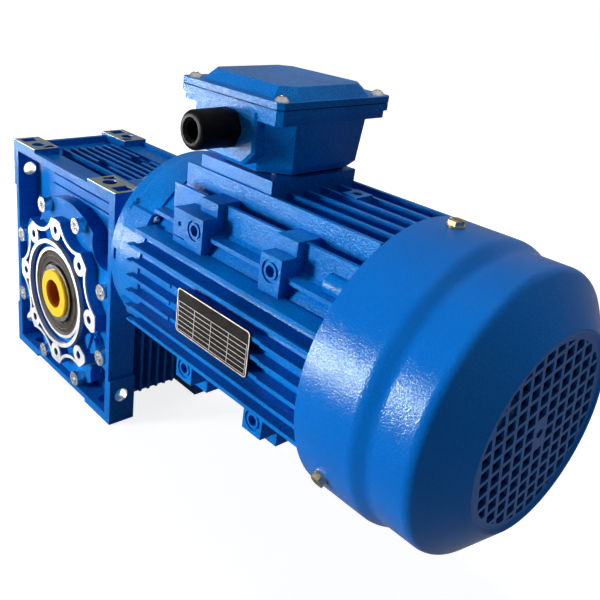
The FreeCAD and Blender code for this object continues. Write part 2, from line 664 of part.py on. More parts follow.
# Output shaft, wheel rim, bearings, seals and cap
bore_r = OUTPUT_BORE_D / 2
hub = fuse([cyl_y(BEARING_SHAFT_R, -SHAFT_END, SHAFT_END), cyl_y(SHOULDER_R, -BEARING_IN, BEARING_IN),
            cyl_y(HUB_R, -WHEEL_HALF, WHEEL_HALF)])
key_half = OUTPUT_KEY_WIDTH / 2
cap_seat = -SHAFT_END + CAP_SEAT_DEPTH
hub = cut(hub, [cyl_y(bore_r, -SHAFT_END - 1, SHAFT_END + 1), cyl_y(CAP_SEAT_R, -SHAFT_END - 1, cap_seat),
                box(-key_half, key_half, -SHAFT_END - 1, SHAFT_END + 1, 0, bore_r + OUTPUT_KEY_RISE)])
save("output_shaft", hub)

wheel_r = MODULE * WHEEL_TEETH / 2
worm_r = AXIS_Z - wheel_r
lead = math.pi * MODULE
tooth = lead / 2 - FLANK_PLAY
wheel_tip = wheel_r + MODULE - 0.3
wheel_root = wheel_r - 1.2 * MODULE
worm_tip = AXIS_Z - wheel_root - ROOT_PLAY
worm_root = AXIS_Z - wheel_tip - ROOT_PLAY
base_r = wheel_r * math.cos(PRESSURE_ANGLE)


def involute(angle):
    return math.tan(angle) - angle


def half_tooth(r):
    roll = math.acos(min(1.0, base_r / r))
    return tooth / (2 * wheel_r) + involute(PRESSURE_ANGLE) - involute(roll)


def wheel_wire(y, twist):
    radii = [wheel_root, base_r, wheel_r, wheel_tip]
    pts = []
    for k in range(WHEEL_TEETH):
        middle = 2 * math.pi * k / WHEEL_TEETH + twist
        flank = [(r, -half_tooth(r)) for r in radii] + [(r, half_tooth(r)) for r in reversed(radii)]
        for r, a in flank:
            pts.append(V(r * math.sin(middle + a), y, r * math.cos(middle + a)))
    return Part.makePolygon(pts + pts[:1])


twist = WHEEL_HALF * lead / (2 * math.pi * worm_r) / wheel_r
rim = Part.makeLoft([wheel_wire(-WHEEL_HALF, -twist), wheel_wire(WHEEL_HALF, twist)], True, True)
save("worm_wheel_rim", cut(rim, [cyl_y(HUB_R, -WHEEL_HALF - 1, WHEEL_HALF + 1)]))

outer_race, inner_race = race_pair(BEARING_OUTER_R, BEARING_SHAFT_R, BEARING_IN, BEARING_WIDTH, tube_y)
save("output_bearing_outer_races", Part.makeCompound([outer_race, mirror_y(outer_race)]))
save("output_bearing_inner_races", Part.makeCompound([inner_race, mirror_y(inner_race)]))

lip_r = BEARING_SHAFT_R + RUN
seal_y0 = BEARING_IN + BEARING_WIDTH + SEAL_SHOULDER
seal_y1 = seal_y0 + SEAL_WIDTH
seal = turned_y([(seal_y0, SEAL_R), (seal_y0, lip_r + 3), (seal_y0 + 2, lip_r), (seal_y1 - 3, lip_r),
                 (seal_y1 - 3, lip_r + 2.7), (seal_y1 - 0.8, lip_r + 2.7), (seal_y1 - 0.8, SEAL_R - 2),
                 (seal_y1 - 0.4, SEAL_R - 1), (seal_y1 - 0.4, SEAL_R)])
save("output_oil_seals", Part.makeCompound([seal, mirror_y(seal)]))
cap = turned_y([(-SPIGOT_FACE, bore_r - 1.6), (-SPIGOT_FACE, bore_r + 6.4), (-SPIGOT_FACE + 0.6, bore_r + 7),
                (-SHAFT_END, bore_r + 7), (-SHAFT_END, CAP_SEAT_R), (cap_seat, CAP_SEAT_R), (cap_seat, 0),
                (cap_seat - 2, 0), (cap_seat - 2, bore_r - 1.6)])
save("shaft_transport_cap", cap)

# Worm shaft: the thread runs on a long helix and is trimmed to length
pipe_start = -3.25 * lead
spine = Part.makeLongHelix(lead, 6.5 * lead, worm_r)
spine.translate(V(0, 0, pipe_start))
profile = []
for r, side in ((worm_root - 1, -1), (worm_tip, -1), (worm_tip, 1), (worm_root - 1, 1)):
    half = tooth / 2 - (r - worm_r) * math.tan(PRESSURE_ANGLE)
    profile.append(V(r, 0, pipe_start + side * half))
thread = Part.Wire(spine.Edges).makePipeShell([Part.makePolygon(profile + profile[:1])], True, True)
thread = thread.common(Part.makeCylinder(2 * worm_tip, 2 * WORM_HALF, V(0, 0, -WORM_HALF), Z))
thread.rotate(V(0, 0, 0), V(1, 1, 1), 120)
thread.translate(V(0, 0, AXIS_Z))
journal_x = WORM_REAR_BEARING_X - 1
collar_x = WORM_FRONT_BEARING_X - 8
worm = turned_x([(journal_x, 0), (journal_x, WORM_REAR_R), (tunnel_rear, WORM_REAR_R),
                 (tunnel_rear, WORM_CORE_R), (-WORM_HALF - 3, WORM_CORE_R), (-WORM_HALF, worm_root),
                 (WORM_HALF, worm_root),
                 (WORM_HALF + 3, WORM_CORE_R), (collar_x, WORM_CORE_R), (collar_x, QUILL_R + 2.5),
                 (WORM_FRONT_BEARING_X, QUILL_R + 2.5), (WORM_FRONT_BEARING_X, QUILL_R), (QUILL_END, QUILL_R),
                 (QUILL_END, 0)])
worm = fuse([worm, thread])
shaft_tip = MOTOR_FACE - MOTOR_SHAFT_LENGTH
motor_key_half = MOTOR_KEY_WIDTH / 2
key_top = AXIS_Z + MOTOR_SHAFT_R - MOTOR_KEY_SINK + MOTOR_KEY_HEIGHT
bore_x = shaft_tip - 2
key_slot = box(bore_x, QUILL_END + 1, -motor_key_half, motor_key_half, AXIS_Z, key_top + SCREW_PLAY)
worm = cut(worm, [cyl_x(MOTOR_SHAFT_R, bore_x, QUILL_END + 1), key_slot])
save("worm_shaft", worm)

front_outer, front_inner = race_pair(WORM_FRONT_BEARING_R, QUILL_R, WORM_FRONT_BEARING_X,
                                     WORM_FRONT_BEARING_WIDTH, tube_x)
rear_outer, rear_inner = race_pair(WORM_REAR_BEARING_R, WORM_REAR_R, WORM_REAR_BEARING_X,
                                   WORM_REAR_BEARING_WIDTH, tube_x)
save("worm_bearing_outer_races", Part.makeCompound([front_outer, rear_outer]))
save("worm_bearing_inner_races", Part.makeCompound([front_inner, rear_inner]))
clip = tube_x(WORM_REAR_BEARING_R + CLIP_DEPTH, WORM_REAR_BEARING_R - 2, clip_x, WORM_REAR_BEARING_X)
clip_gap = box(clip_x, WORM_REAR_BEARING_X, -3, 3, AXIS_Z - 2 * WORM_REAR_BEARING_R, AXIS_Z)
save("worm_retaining_ring", cut(clip, [clip_gap]))
save("worm_end_cap", cyl_x(WORM_REAR_BEARING_R, -plain, -plain + END_CAP_WIDTH))
quill_lip = QUILL_R + RUN
seal_out = HALF_LENGTH
worm_seal = turned_x([(seal_x, WORM_FRONT_BEARING_R), (seal_x, quill_lip + 3), (seal_x + 2, quill_lip),
                      (seal_out - 2, quill_lip), (seal_out - 2, quill_lip + 3), (seal_out, quill_lip + 4),
                      (seal_out, WORM_FRONT_BEARING_R)])
save("worm_oil_seal", worm_seal)

# Input flange with its screws and the motor bolts
register_x = MOTOR_FACE - FLANGE_SPIGOT_DEPTH
flange = turned_x([(HALF_LENGTH, QUILL_R + 4), (HALF_LENGTH, FLANGE_NECK_R), (FLANGE_X, FLANGE_NECK_R),
                   (FLANGE_X, FLANGE_R - 0.8), (FLANGE_X + 0.8, FLANGE_R), (MOTOR_FACE, FLANGE_R),
                   (MOTOR_FACE, FLANGE_SPIGOT_R), (register_x, FLANGE_SPIGOT_R), (register_x, QUILL_R + 4)])
tools = [box(FLANGE_X + 4.5, FLANGE_X + 7.5, -FLANGE_R - 1, -FLANGE_R + 3, AXIS_Z, AXIS_Z + PAD_WALL)]
bolt_points = [polar_y(FLANGE_BOLT_CIRCLE_R, 45 + 90 * k) for k in range(4)]
for y, z in bolt_points:
    tools.append(cyl_x(FLANGE_BOLT_R + SCREW_PLAY, FLANGE_X - 1, MOTOR_FACE + 1, y, z))
sink_x = register_x - 2 * FLANGE_SCREW_R
for y, z in flange_screw_points:
    tools.append(cyl_x(FLANGE_SCREW_R + SCREW_PLAY, HALF_LENGTH - 1, register_x, y, z))
    tools.append(cyl_x(CAP_HEAD_RATIO * FLANGE_SCREW_R + SCREW_PLAY, sink_x, register_x + 1, y, z))
save("input_flange", cut(flange, tools))
reach = sink_x - HALF_LENGTH + FLANGE_SCREW_REACH
screws = [cap_screw(V(sink_x, y, AXIS_Z + z), X * -1, FLANGE_SCREW_R, reach) for y, z in flange_screw_points]
save("input_flange_screws", Part.makeCompound(screws))
shield_back = MOTOR_FACE + SHIELD_PLATE
reach = shield_back - FLANGE_X
bolts = [cap_screw(V(FLANGE_X, y, AXIS_Z + z), X, FLANGE_BOLT_R, reach) for y, z in bolt_points]
save("motor_flange_bolts", Part.makeCompound(bolts))

# Motor drive end shield
ear_root = FRAME_BORE_R - 5


def ear_point(r, rise):
    tilt = math.radians(EAR_ANGLE)
    return r * math.cos(tilt) - rise * math.sin(tilt), r * math.sin(tilt) + rise * math.cos(tilt)


def ear(x0, x1):
    shoulder = ear_point(EAR_FLAT, EAR_RISE)
    inside = (math.sqrt(ear_root ** 2 - shoulder[1] ** 2), shoulder[1])
    return prism_x([ear_point(EAR_FLAT, -EAR_FALL), shoulder, inside, ear_point(ear_root, -EAR_FALL)], x0, x1)


bearing_x = shield_back + MOTOR_BEARING_BACK
bearing_end = bearing_x + MOTOR_BEARING_WIDTH
seal_seat_r = MOTOR_SHAFT_R + 6
skirt_r = FRAME_BORE_R - 3
seat_r = MOTOR_BEARING_R
shield = [turned_x([(MOTOR_FACE, seal_seat_r), (MOTOR_FACE, FLANGE_R), (EAR_X0, SHIELD_R),
                    (FRAME_X0, SHIELD_R), (FRAME_X0, FRAME_BORE_R), (FRAME_X0 + 3, FRAME_BORE_R),
                    (FRAME_X0 + 3, skirt_r), (shield_back, skirt_r), (shield_back, seat_r + 7),
                    (bearing_end, seat_r + 6), (bearing_end, seat_r), (bearing_x, seat_r),
                    (bearing_x, seat_r - 4), (shield_back, seat_r - 4), (shield_back, seal_seat_r)])]
shield.append(tube_x(FLANGE_SPIGOT_R, FLANGE_SPIGOT_R - 6, register_x + 1, MOTOR_FACE + 1))
shield += four_corners(ear(EAR_X0, EAR_SPLIT))
tools = four_corners(ear(EAR_SPLIT, FRAME_X0))
head_r = EAR_HEAD_R + SCREW_PLAY
notch_x = MOTOR_FACE - 1
notch_out = box(notch_x, EAR_X0, EAR_SCREW_CIRCLE_R, EAR_FLAT + 5, AXIS_Z - head_r, AXIS_Z + head_r)
notch = fuse([cyl_x(head_r, notch_x, EAR_X0, EAR_SCREW_CIRCLE_R, 0), notch_out])
hole = cyl_x(EAR_SCREW_R + SCREW_PLAY, MOTOR_FACE, FRAME_X0 + 4, EAR_SCREW_CIRCLE_R, 0)
tools += four_corners(turn_x(notch, EAR_SCREW_ANGLE))
tools += four_corners(turn_x(hole, EAR_SCREW_ANGLE))
for y, z in bolt_points:
    tools.append(cyl_x(FLANGE_BOLT_R, MOTOR_FACE - 1, shield_back + 1, y, z))
save("drive_end_shield", cut(fuse(shield), tools))
low_head = EAR_X0 - MOTOR_FACE - SCREW_PLAY
ear_head = dome(EAR_HEAD_R, low_head, V(EAR_X0, EAR_SCREW_CIRCLE_R, AXIS_Z), X * -1)
ear_shank = cyl_x(EAR_SCREW_R, EAR_X0, FRAME_X0, EAR_SCREW_CIRCLE_R, 0)
ear_tip = dome(EAR_SCREW_R, EAR_SCREW_TIP, V(FRAME_X0, EAR_SCREW_CIRCLE_R, AXIS_Z), X)
ear_screw = turn_x(fuse([ear_head, ear_shank, ear_tip]), EAR_SCREW_ANGLE)
save("shield_screws", Part.makeCompound(four_corners(ear_screw)))

# Motor frame
cover_inner = FAN_COVER_R - FAN_COVER_SHEET
fin_half = SIDE_FIN_WIDTH / 2
frame = [cyl_x(FRAME_R, FRAME_X0, FRAME_X1)]
for k in range(-4, 5):
    tip = SIDE_FIN_TIP
    if abs(k) == 3:
        tip = EDGE_FIN_TIP
    if abs(k) == 4:
        tip = SHELF_TIP
    z = AXIS_Z + k * SIDE_FIN_PITCH
    frame.append(box(FRAME_X0 + 2, FRAME_X1, -tip, tip, z - fin_half, z + fin_half))
    if -4 < k < 3:
        for y0, y1 in ((-tip, -SHIELD_R - 0.6), (SHIELD_R + 0.6, tip)):
            frame.append(box(FRAME_X0 - SIDE_FIN_NOSE, FRAME_X0 + 3, y0, y1, z - fin_half, z))
for k in range(6):
    y = TOP_FIN_PITCH * (k - 2.5)
    low = AXIS_Z - BOTTOM_FIN_TIP
    frame.append(box(FRAME_X0 + 5, FRAME_X1, y - fin_half, y + fin_half, low, AXIS_Z + TOP_FIN_TIP))
for y in (-OUTER_PLATE_Y, OUTER_PLATE_Y):
    low = AXIS_Z - OUTER_PLATE_LOW
    frame.append(box(FRAME_X0 + 8, FRAME_X1, y - fin_half, y + fin_half, low, AXIS_Z + OUTER_PLATE_TIP))
pads = []
for n, x in enumerate(FOOT_HOLE_X):
    x0 = x - FOOT_PAD_HALF
    x1 = x + FOOT_PAD_HALF
    start = x0 - FOOT_PAD_EXTRA if n == 0 else x0
    pads.append(box(start, x1, -FOOT_PAD_Y, FOOT_PAD_Y, AXIS_Z + FOOT_PAD_Z0, AXIS_Z + FOOT_PAD_Z1))
    pads.append(box(x0, x1, -FOOT_PAD_Y, FOOT_PAD_Y, AXIS_Z - FOOT_PAD_Z1, AXIS_Z - FOOT_PAD_Z0))
    pads.append(box(x0, x1, -FOOT_STEP_Y, FOOT_STEP_Y, AXIS_Z + FOOT_PAD_Z1 - 1, AXIS_Z + FOOT_STEP_Z))
    pads.append(box(x0, x1, -LOW_STEP_Y, LOW_STEP_Y, AXIS_Z - LOW_STEP_Z, AXIS_Z - FOOT_PAD_Z1 + 1))
frame += pads
ped_top = AXIS_Z + PED_TOP
frame.append(box(PED_X0, PED_X1, -PED_Y, PED_Y, AXIS_Z, ped_top))
boss_half = TOP_FIN_PITCH / 2
boss_x = FOOT_HOLE_X[1] - 2 * boss_half
boss_z = AXIS_Z + TOP_FIN_TIP + 1
frame.append(box(boss_x - boss_half + 1, boss_x + boss_half - 1, boss_half, 3 * boss_half, AXIS_Z, boss_z))
rear_screw_r = FRAME_R + 1
rear_screw_points = [polar_y(rear_screw_r, 45 + 90 * k) for k in range(4)]
for y, z in rear_screw_points:
    frame.append(cyl_x(REAR_SCREW_BOSS_R, FRAME_X1 - REAR_SCREW_BOSS, FRAME_X1, y, z))
under_cover = tube_x(2 * FAN_COVER_R, cover_inner - SIDE_PLAY, FAN_COVER_X0 - 1, FRAME_X1 + 1)
frame = cut(fuse(frame), [cyl_x(FRAME_BORE_R, FRAME_X0 - 1, FRAME_X1 + 1), under_cover])
frame = fuse([frame] + four_corners(ear(EAR_SPLIT, FRAME_X0)))
pocket_z0 = AXIS_Z + 3 * SIDE_FIN_PITCH + fin_half
pocket_z1 = AXIS_Z + 4 * SIDE_FIN_PITCH - fin_half
ear_pocket = box(FRAME_X0, FRAME_X0 + EAR_POCKET, 0, 2 * FRAME_R, pocket_z0, pocket_z1)
ear_pocket = cut(ear_pocket, [cyl_x(FRAME_BORE_R + EAR_POCKET_WALL, FRAME_X0, FRAME_X0 + EAR_POCKET)])
tools = four_corners(ear_pocket)
for x in FOOT_HOLE_X:
    for side in (-1, 1):
        for z in (AXIS_Z - FOOT_HOLE_Z, AXIS_Z + FOOT_HOLE_Z):
            into = V(0, -side, 0)
            face = V(x, side * FOOT_PAD_Y, z)
            tools.append(Part.makeCylinder(FOOT_HOLE_R, FOOT_HOLE_DEPTH, face, into))
            groove = Part.makeCylinder(FOOT_RING_R, GROOVE_DEPTH, face, into)
            land = Part.makeCylinder(FOOT_RING_R - FOOT_RING_GROOVE, GROOVE_DEPTH, face, into)
            tools.append(cut(groove, [land]))
extra_x1 = FOOT_HOLE_X[0] - FOOT_PAD_HALF
extra_x0 = extra_x1 - FOOT_PAD_EXTRA
line_z = AXIS_Z + FOOT_HOLE_Z - FOOT_RING_R - FOOT_RING_GROOVE
for side in (-1, 1):
    face = V((extra_x0 + extra_x1) / 2, side * FOOT_PAD_Y, AXIS_Z + FOOT_HOLE_Z)
    tools.append(Part.makeCylinder(FOOT_RING_GROOVE, FOOT_HOLE_DEPTH / 2, face, V(0, -side, 0)))
    y0, y1 = sorted((side * FOOT_PAD_Y, side * (FOOT_PAD_Y - GROOVE_DEPTH)))
    tools.append(box(extra_x0 - 1, extra_x1 - 1, y0, y1, line_z - GROOVE_DEPTH, line_z))
plate_x1 = PLATE_X0 + PLATE_LENGTH
plate_low = AXIS_Z - PLATE_HEIGHT / 2
plate_high = AXIS_Z + PLATE_HEIGHT / 2
plate_y = -SIDE_FIN_TIP + PLATE_SINK
sink_x0 = PLATE_X0 - PLATE_MARGIN
tools.append(box(sink_x0, plate_x1 + PLATE_MARGIN, -SIDE_FIN_TIP, plate_y, plate_low, plate_high))
tools.append(cyl_z(EAR_SCREW_R, AXIS_Z + FRAME_R, boss_z + 1, boss_x, 2 * boss_half))
wire_x0 = GLAND_X - WIRE_HALF
wire_x1 = GLAND_X + WIRE_HALF
wire_y1 = BOX_TOP_Y - WIRE_HALF
wire_y0 = wire_y1 - WIRE_WIDTH
tools.append(box(wire_x0, wire_x1, wire_y0, wire_y1, AXIS_Z, ped_top + 1))
ear_thread = cyl_x(EAR_SCREW_R, EAR_SPLIT - 1, FRAME_X0 + EAR_SCREW_TIP, EAR_SCREW_CIRCLE_R, 0)
tools += four_corners(turn_x(ear_thread, EAR_SCREW_ANGLE))
for y, z in rear_screw_points:
    tools.append(cyl_x(FAN_SCREW_R, FRAME_X1 - REAR_SCREW_REACH, FRAME_X1 + 1, y, z))
screw_inset = 2 * LID_SCREW_INSET
box_screw_points = [(x, y) for x in (PED_X0 + screw_inset, PED_X1 - screw_inset)
                    for y in (-PED_Y + screw_inset, PED_Y - screw_inset)]
for x, y in box_screw_points:
    tools.append(cyl_z(LID_SCREW_R, ped_top - BOX_SCREW_REACH, ped_top + 1, x, y))
frame = cut(frame, tools)
save("motor_frame", frame)

# Stator, rotor and motor shaft
save("stator_core", tube_x(FRAME_BORE_R, STATOR_BORE_R, STATOR_X0, STATOR_X1))
windings = []
for x0, x1, flip in ((STATOR_X0 - WINDING_REACH, STATOR_X0, 1), (STATOR_X1, STATOR_X1 + WINDING_REACH, -1)):
    out_x, in_x = (x0, x1) if flip > 0 else (x1, x0)
    turn = out_x + 5 * flip
    windings.append(turned_x([(in_x, STATOR_BORE_R + 2), (in_x, FRAME_BORE_R - 5), (turn, FRAME_BORE_R - 3),
                              (out_x, FRAME_BORE_R - 7), (out_x, STATOR_BORE_R + 8),
                              (turn, STATOR_BORE_R + 4)]))
save("stator_windings", Part.makeCompound(windings))
rotor_r = STATOR_BORE_R - AIR_GAP
save("rotor_core", tube_x(rotor_r, ROTOR_SHAFT_R, STATOR_X0, STATOR_X1))
rings = []
for x0, flip in ((STATOR_X0, -1), (STATOR_X1, 1)):
    a, b = sorted((x0, x0 + flip * END_RING_WIDTH))
    c, d = sorted((x0 + flip * END_RING_WIDTH, x0 + flip * 2.2 * END_RING_WIDTH))
    vane = box(c, d, rotor_r - 11, rotor_r - 2, AXIS_Z - 1, AXIS_Z + 1)
    rings.append(fuse([tube_x(rotor_r - 1, rotor_r - 13, a, b)] + [turn_x(vane, 45 * k) for k in range(8)]))
save("rotor_end_rings", Part.makeCompound(rings))

rear_bearing_x = FRAME_X1 + MOTOR_BEARING_BACK
rear_bearing_end = rear_bearing_x + MOTOR_BEARING_WIDTH
fan_clip_x = FAN_X1 + 0.2
shaft_end_x = FAN_X1 + 5
journal_r = MOTOR_BEARING_SHAFT_R
clip_r = FAN_SHAFT_R - 1
clip_end = fan_clip_x + CLIP_WIDTH
shaft = turned_x([(shaft_tip, 0), (shaft_tip, MOTOR_SHAFT_R - 1), (shaft_tip + 1, MOTOR_SHAFT_R),
                  (MOTOR_FACE, MOTOR_SHAFT_R), (MOTOR_FACE, journal_r), (bearing_end, journal_r),
                  (bearing_end, ROTOR_SHAFT_R), (rear_bearing_x, ROTOR_SHAFT_R), (rear_bearing_x, journal_r),
                  (rear_bearing_end, journal_r), (rear_bearing_end, FAN_SHAFT_R), (fan_clip_x, FAN_SHAFT_R),
                  (fan_clip_x, clip_r), (clip_end, clip_r), (clip_end, FAN_SHAFT_R),
                  (shaft_end_x, FAN_SHAFT_R), (shaft_end_x, 0)])
key_x0 = shaft_tip + 4
key_bottom = key_top - MOTOR_KEY_HEIGHT
key = box(key_x0, key_x0 + MOTOR_KEY_LENGTH, -motor_key_half, motor_key_half, key_bottom, key_top)
save("motor_shaft", cut(shaft, [key]))
save("shaft_key", key)
motor_outer, motor_inner = race_pair(MOTOR_BEARING_R, MOTOR_BEARING_SHAFT_R, bearing_x,
                                     MOTOR_BEARING_WIDTH, tube_x)
shift = V(rear_bearing_x - bearing_x, 0, 0)
save("motor_bearing_outer_races", Part.makeCompound([motor_outer, motor_outer.translated(shift)]))
save("motor_bearing_inner_races", Part.makeCompound([motor_inner, motor_inner.translated(shift)]))
motor_lip = MOTOR_BEARING_SHAFT_R + RUN
save("motor_shaft_seal", turned_x([(MOTOR_FACE + 1, MOTOR_SHAFT_R + 6), (MOTOR_FACE + 1, motor_lip + 2),
                                   (MOTOR_FACE + 3, motor_lip), (shield_back - 1, motor_lip),
                                   (shield_back, motor_lip + 2), (shield_back, MOTOR_SHAFT_R + 6)]))

# Rear end shield, spring washer, fan and cover
washer_x = rear_bearing_end + 1.2
rear_face = FRAME_X1 + REAR_PLATE
rear_rim = FRAME_R + 8
rear_in = FRAME_X1 + 2
rear_shield = [turned_x([(FRAME_X1 - 3, FRAME_BORE_R), (FRAME_X1, FRAME_BORE_R), (FRAME_X1, rear_rim),
                         (rear_face, rear_rim), (rear_face, FRAME_BORE_R - 4), (rear_face + 2, seat_r + 10),
                         (REAR_SHIELD_X1, seat_r + 6), (REAR_SHIELD_X1, FAN_SHAFT_R + 2),
                         (washer_x, FAN_SHAFT_R + 2), (washer_x, seat_r), (rear_bearing_x, seat_r),
                         (rear_in, seat_r + 4), (rear_in, FRAME_BORE_R - 4),
                         (FRAME_X1 - 3, FRAME_BORE_R - 4)])]
fan_screw_angles = (90, 210, 330)
arm_end = FAN_SCREW_X + FAN_ARM
arm = box(FRAME_X1, arm_end, FRAME_R - FAN_ARM, FAN_COVER_R, AXIS_Z - FAN_ARM, AXIS_Z + FAN_ARM)
arm = arm.common(cyl_x(cover_inner, FRAME_X1, arm_end))
tools = []
hole_base = V(FAN_SCREW_X, FAN_COVER_R - FAN_SCREW_REACH, AXIS_Z)
fan_hole = Part.makeCylinder(FAN_SCREW_R, FAN_SCREW_REACH, hole_base, Y)
for a in fan_screw_angles:
    rear_shield.append(turn_x(arm, a))
    tools.append(turn_x(fan_hole, a))
for y, z in rear_screw_points:
    tools.append(cyl_x(FAN_SCREW_R + SCREW_PLAY, FRAME_X1 - 1, rear_face + 1, y, z))
save("rear_end_shield", cut(fuse(rear_shield), tools))
reach = REAR_PLATE + REAR_SCREW_REACH - 1
screws = [cap_screw(V(rear_face, y, AXIS_Z + z), X * -1, FAN_SCREW_R, reach) for y, z in rear_screw_points]
save("rear_shield_screws", Part.makeCompound(screws))
washer_in = MOTOR_BEARING_R - RACE_SHARE * (MOTOR_BEARING_R - MOTOR_BEARING_SHAFT_R)
save("bearing_spring_washer", tube_x(MOTOR_BEARING_R, washer_in, rear_bearing_end, washer_x))

fan = [tube_x(FAN_SHAFT_R + 7, FAN_SHAFT_R, FAN_X0, FAN_X1)]
fan.append(tube_x(FAN_R - 10, FAN_SHAFT_R + 6, FAN_X0 + 2, FAN_X0 + 4.5))
blade = box(FAN_X0 + 3, FAN_X1 - 1, FAN_SHAFT_R + 6, FAN_R, AXIS_Z - 1.1, AXIS_Z + 1.1)
fan += [turn_x(blade, 360 / FAN_BLADES * k) for k in range(FAN_BLADES)]
save("cooling_fan", fuse(fan))
save("fan_clip", tube_x(FAN_SHAFT_R + 3, clip_r, fan_clip_x, clip_end))

sheet = FAN_COVER_SHEET
disc_x = FAN_COVER_END - FAN_DISC_SET
disc_in = disc_x - sheet
rim_r = FAN_END_R + 0.8
small_in = FAN_COVER_SMALL_R - sheet
step_fall = (FAN_COVER_R - FAN_COVER_SMALL_R) / (FAN_STEP_X1 - FAN_STEP_X0)
cone_fall = (FAN_COVER_SMALL_R - rim_r) / (FAN_COVER_END - FAN_SHOULDER_X)
step_shift = sheet * (math.hypot(1, step_fall) - 1) / step_fall
cone_shift = sheet * (math.hypot(1, cone_fall) - 1) / cone_fall
cone_in_r = small_in - cone_fall * (disc_in - FAN_SHOULDER_X + cone_shift)
fan_cover = turned_bends([(FAN_COVER_X0, FAN_COVER_R, 0), (FAN_STEP_X0, FAN_COVER_R, FAN_BEND),
                          (FAN_STEP_X1, FAN_COVER_SMALL_R, FAN_BEND - sheet),
                          (FAN_SHOULDER_X, FAN_COVER_SMALL_R, FAN_SHOULDER_BEND),
                          (FAN_COVER_END, rim_r, FAN_RIM_BEND), (disc_x, FAN_END_R - 0.6, FAN_RIM_BEND / 2),
                          (disc_x, 0, 0), (disc_in, 0, 0), (disc_in, cone_in_r, FAN_RIM_BEND),
                          (FAN_SHOULDER_X - cone_shift, small_in, FAN_SHOULDER_BEND - sheet),
                          (FAN_STEP_X1 - step_shift, small_in, FAN_BEND),
                          (FAN_STEP_X0 - step_shift, cover_inner, FAN_BEND - sheet),
                          (FAN_COVER_X0, cover_inner, 0)])
holes = []
cells = int(GRILLE_R / GRILLE_PITCH) + 1
half = GRILLE_HOLE / 2
for i in range(-cells, cells + 1):
    for j in range(-cells, cells + 1):
        y = GRILLE_PITCH * i
        z = AXIS_Z + GRILLE_PITCH * (j + 0.5)
        if GRILLE_PITCH * 0.6 < math.hypot(y, z - AXIS_Z) < GRILLE_R + GRILLE_HOLE / 2:
            holes.append(box(disc_x - 3, disc_x + 1, y - half, y + half, z - half, z + half))
grille = turn_x(Part.makeCompound(holes), GRILLE_TURN).common(cyl_x(GRILLE_R, disc_x - 3, disc_x + 1))
tools = grille.Solids + [cyl_x(GRILLE_HOLE * 0.4, disc_x - 3, disc_x + 1)]
hole_base = V(FAN_SCREW_X, cover_inner - sheet, AXIS_Z)
cover_hole = Part.makeCylinder(FAN_SCREW_R + SCREW_PLAY, 4 * sheet, hole_base, Y)
tools += [turn_x(cover_hole, a) for a in fan_screw_angles]
save("fan_cover", cut(fan_cover, tools))
fan_screw = flange_screw(V(FAN_SCREW_X, FAN_COVER_R, AXIS_Z), Y * -1, FAN_SCREW_R, FAN_SCREW_REACH)
slot_half = FAN_SCREW_R / 4
slot_y = FAN_COVER_R + FAN_SCREW_R
slot_x1 = FAN_SCREW_X + 2 * FAN_SCREW_R
slot_x0 = FAN_SCREW_X - 2 * FAN_SCREW_R
slot = box(slot_x0, slot_x1, slot_y, slot_y + FAN_SCREW_R, AXIS_Z - slot_half, AXIS_Z + slot_half)
fan_screw = cut(fan_screw, [slot])
save("fan_cover_screws", Part.makeCompound([turn_x(fan_screw, a) for a in fan_screw_angles]))

# Terminal box
box_z0 = ped_top + GASKET
box_z1 = box_z0 + BOX_RISE
lip_z = box_z1 - LIP
under_z = lip_z - UNDER_LIP
floor_z = box_z0 + BOX_WALL
bevel_z = box_z0 + BOX_BEVEL
gland_z = ped_top + GLAND_RISE
wall = BOX_WALL
low_x0 = PED_X0 - 2
low_x1 = PED_X1 + 1
low_y = PED_Y + 1
base_corners = (BOX_FRONT_CORNER, BOX_BACK_CORNER)
base_inset = BOX_BEVEL * 0.8
base_oct = octagon(PED_X0 + base_inset / 2, low_x1 - base_inset, low_y - base_inset, *base_corners)
low_oct = octagon(low_x0, low_x1, low_y, *base_corners)
top_oct = octagon(BOX_TOP_X0, BOX_TOP_X1, BOX_TOP_Y, BOX_CORNER, BOX_CORNER)
floor_corners = (BOX_FLOOR_CORNER, BOX_FLOOR_CORNER)
floor_oct = octagon(low_x0 + 2 * wall, low_x1 - 2 * wall, low_y - 2 * wall, *floor_corners)
top_in_oct = octagon(BOX_TOP_X0 + wall, BOX_TOP_X1 - wall, BOX_TOP_Y - wall, BOX_CORNER, BOX_CORNER)
under_x0 = LIP_X0 + UNDER_LIP_INSET
under_x1 = LIP_X1 - UNDER_LIP_INSET
under_oct = octagon(under_x0, under_x1, LIP_Y - UNDER_LIP_INSET, LIP_CORNER, LIP_CORNER)
lip_oct = octagon(LIP_X0, LIP_X1, LIP_Y, LIP_CORNER, LIP_CORNER)
box_body = [loft_z(base_oct, box_z0, low_oct, bevel_z), loft_z(low_oct, bevel_z, top_oct, under_z)]
box_body.append(prism_z(under_oct, under_z, lip_z))
box_body.append(prism_z(lip_oct, lip_z, box_z1))


def panel(edge):
    x0 = PANEL_X0 + edge
    x1 = PANEL_X1 - edge
    low = gland_z - PANEL_DROP + edge
    high = low - edge + PANEL_CORNER + edge / 2
    corner = PANEL_CORNER
    return [(x0, box_z1), (x0, high), (x0 + corner, low), (x1 - corner, low), (x1, high), (x1, box_z1)]


